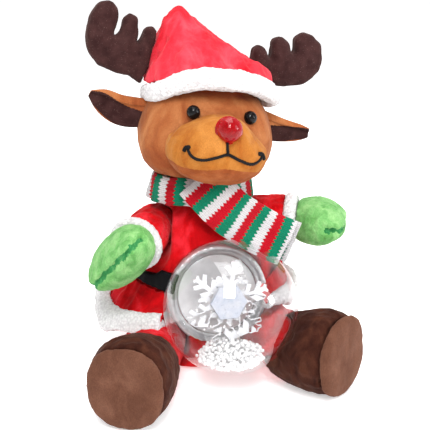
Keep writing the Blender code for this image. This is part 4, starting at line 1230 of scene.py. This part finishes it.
def make_snow():
    """Loose foam beads: a heap in the bottom of the globe, a few stuck to the flake."""
    chance = random.Random(11)
    low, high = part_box("snow_beads")
    top = high[2]
    centres = []
    radii = []
    tries = 0
    while len(centres) < 620 and tries < 60000:
        tries += 1
        radius = chance.uniform(0.0014, 0.0021)
        x = chance.uniform(-0.031, 0.031)
        y = GLOBE_CENTRE.y + chance.uniform(-0.031, 0.031)
        z = chance.uniform(low[2], top + 0.006)
        place = Vector((x, y, z))
        away = hypot(x, y - GLOBE_CENTRE.y)
        heap = top + 0.0045 - 0.011 * (away / 0.03) ** 2 + 0.002 * noise.noise(place * 120)
        if (place - GLOBE_CENTRE).length > GLOBE_RADIUS - 0.0023 - radius or z > heap:
            continue
        if any((place - other).length < (radius + size) * 0.86 for other, size in zip(centres, radii)):
            continue
        centres.append(place)
        radii.append(radius)
    heap_frame = frame_at(GLOBE_CENTRE, GLOBE_AXIS)
    for _ in range(34):
        angle = chance.uniform(0, 2 * pi)
        out = chance.uniform(0.016, 0.034)
        centres.append(heap_frame @ Vector((out * cos(angle), out * sin(angle), -0.0085)))
        radii.append(chance.uniform(0.0007, 0.0011))
    snow = new_object("snow_heap", bead_mesh(centres, radii), M["foam"])
    settled(snow, "torso", "foam_beads", "snow_beads")


# ---- studio


def make_studio():
    scene = bpy.context.scene
    scene.view_settings.view_transform = "Standard"
    pale = clouded("floor_paint", grey(0.94), grey(0.96), 0.9, 0.3)[0]
    pale.set(Emission_Color=(1.0, 1.0, 1.0, 1.0), Emission_Strength=0.48)
    floor = from_points("floor", [(-9, -9, 0), (9, -9, 0), (9, 9, 0), (-9, 9, 0)], [(0, 1, 2, 3)], pale.made)
    world = bpy.data.worlds.new("studio")
    world.use_nodes = True
    tree = world.node_tree
    way = tree.nodes.new("ShaderNodeTexCoord")
    split = tree.nodes.new("ShaderNodeSeparateXYZ")
    band = tree.nodes.new("ShaderNodeValToRGB")
    tree.links.new(way.outputs["Generated"], split.inputs[0])
    tree.links.new(split.outputs["Z"], band.inputs[0])
    tree.links.new(band.outputs[0], tree.nodes["Background"].inputs["Color"])
    for element, at, tone in zip(band.color_ramp.elements, (0.22, 0.42), (1.0, 0.52)):
        element.position = at
        element.color = (*grey(tone), 1.0)
    tree.nodes["Background"].inputs["Strength"].default_value = 1.0
    scene.world = world
    for name, place, size, power, aim in (
        ("key", (-0.3, -1.05, 1.25), 0.5, 17.0, (0, -0.05, 0.15)),
        ("fill", (0.95, -0.75, 0.75), 0.45, 3.5, (0, -0.05, 0.15)),
        ("top", (0.0, 0.1, 1.25), 0.7, 9.0, (0, -0.05, 0.1)),
        ("back", (0.2, 1.1, 0.8), 0.8, 4.0, (0, 0.0, 0.15)),
        ("strip", (-0.1, -0.85, 1.3), 0.16, 3.0, (0, -0.09, 0.08)),
        ("side", (0.85, -0.55, 0.35), 0.14, 1.6, (0, -0.09, 0.08)),
    ):
        light = bpy.data.lights.new(name, "AREA")
        light.shape = "RECTANGLE"
        light.size = size
        light.size_y = size * 1.4
        light.energy = power
        lamp = placed(name, light)
        lamp.location = place
        lamp.rotation_euler = (Vector(aim) - Vector(place)).to_track_quat("-Z", "Y").to_euler()


def make_camera():
    across = radians(-14)
    above = radians(17)
    back = Vector((sin(across) * cos(above), -cos(across) * cos(above), sin(above)))
    right = Vector((cos(across), sin(across), 0))
    place = Matrix((right, back.cross(right), back)).transposed().to_4x4()
    place.translation = Vector((-0.216, -0.899, 0.421))
    camera = bpy.data.cameras.new("view")
    camera.sensor_width = 36.0
    camera.lens = 84.77
    viewer = placed("view", camera)
    viewer.matrix_world = place
    bpy.context.scene.camera = viewer


RIGHT_EAR = (
    (
        (-0.05, 0.003, 0.075), (-0.066, 0.002, 0.0745), (-0.082, 0.0, 0.0785), (-0.097, 0.0, 0.088),
        (-0.1075, 0.0, 0.0945),
    ),
    (0.0115, 0.014, 0.0138, 0.0105, 0.003),
)
LEFT_EAR = (
    (
        (0.05, 0.003, 0.06), (0.064, 0.002, 0.0535), (0.078, 0.0, 0.05), (0.091, 0.0, 0.048),
        (0.1005, 0.0, 0.047),
    ),
    (0.0125, 0.0125, 0.0105, 0.008, 0.0045),
)

make_camera()
make_studio()
make_jacket()
make_scarf()
make_head()
make_hat()
make_ear("right", *RIGHT_EAR)
make_ear("left", *LEFT_EAR)
make_antlers()
make_arms()
make_legs()
make_globe()
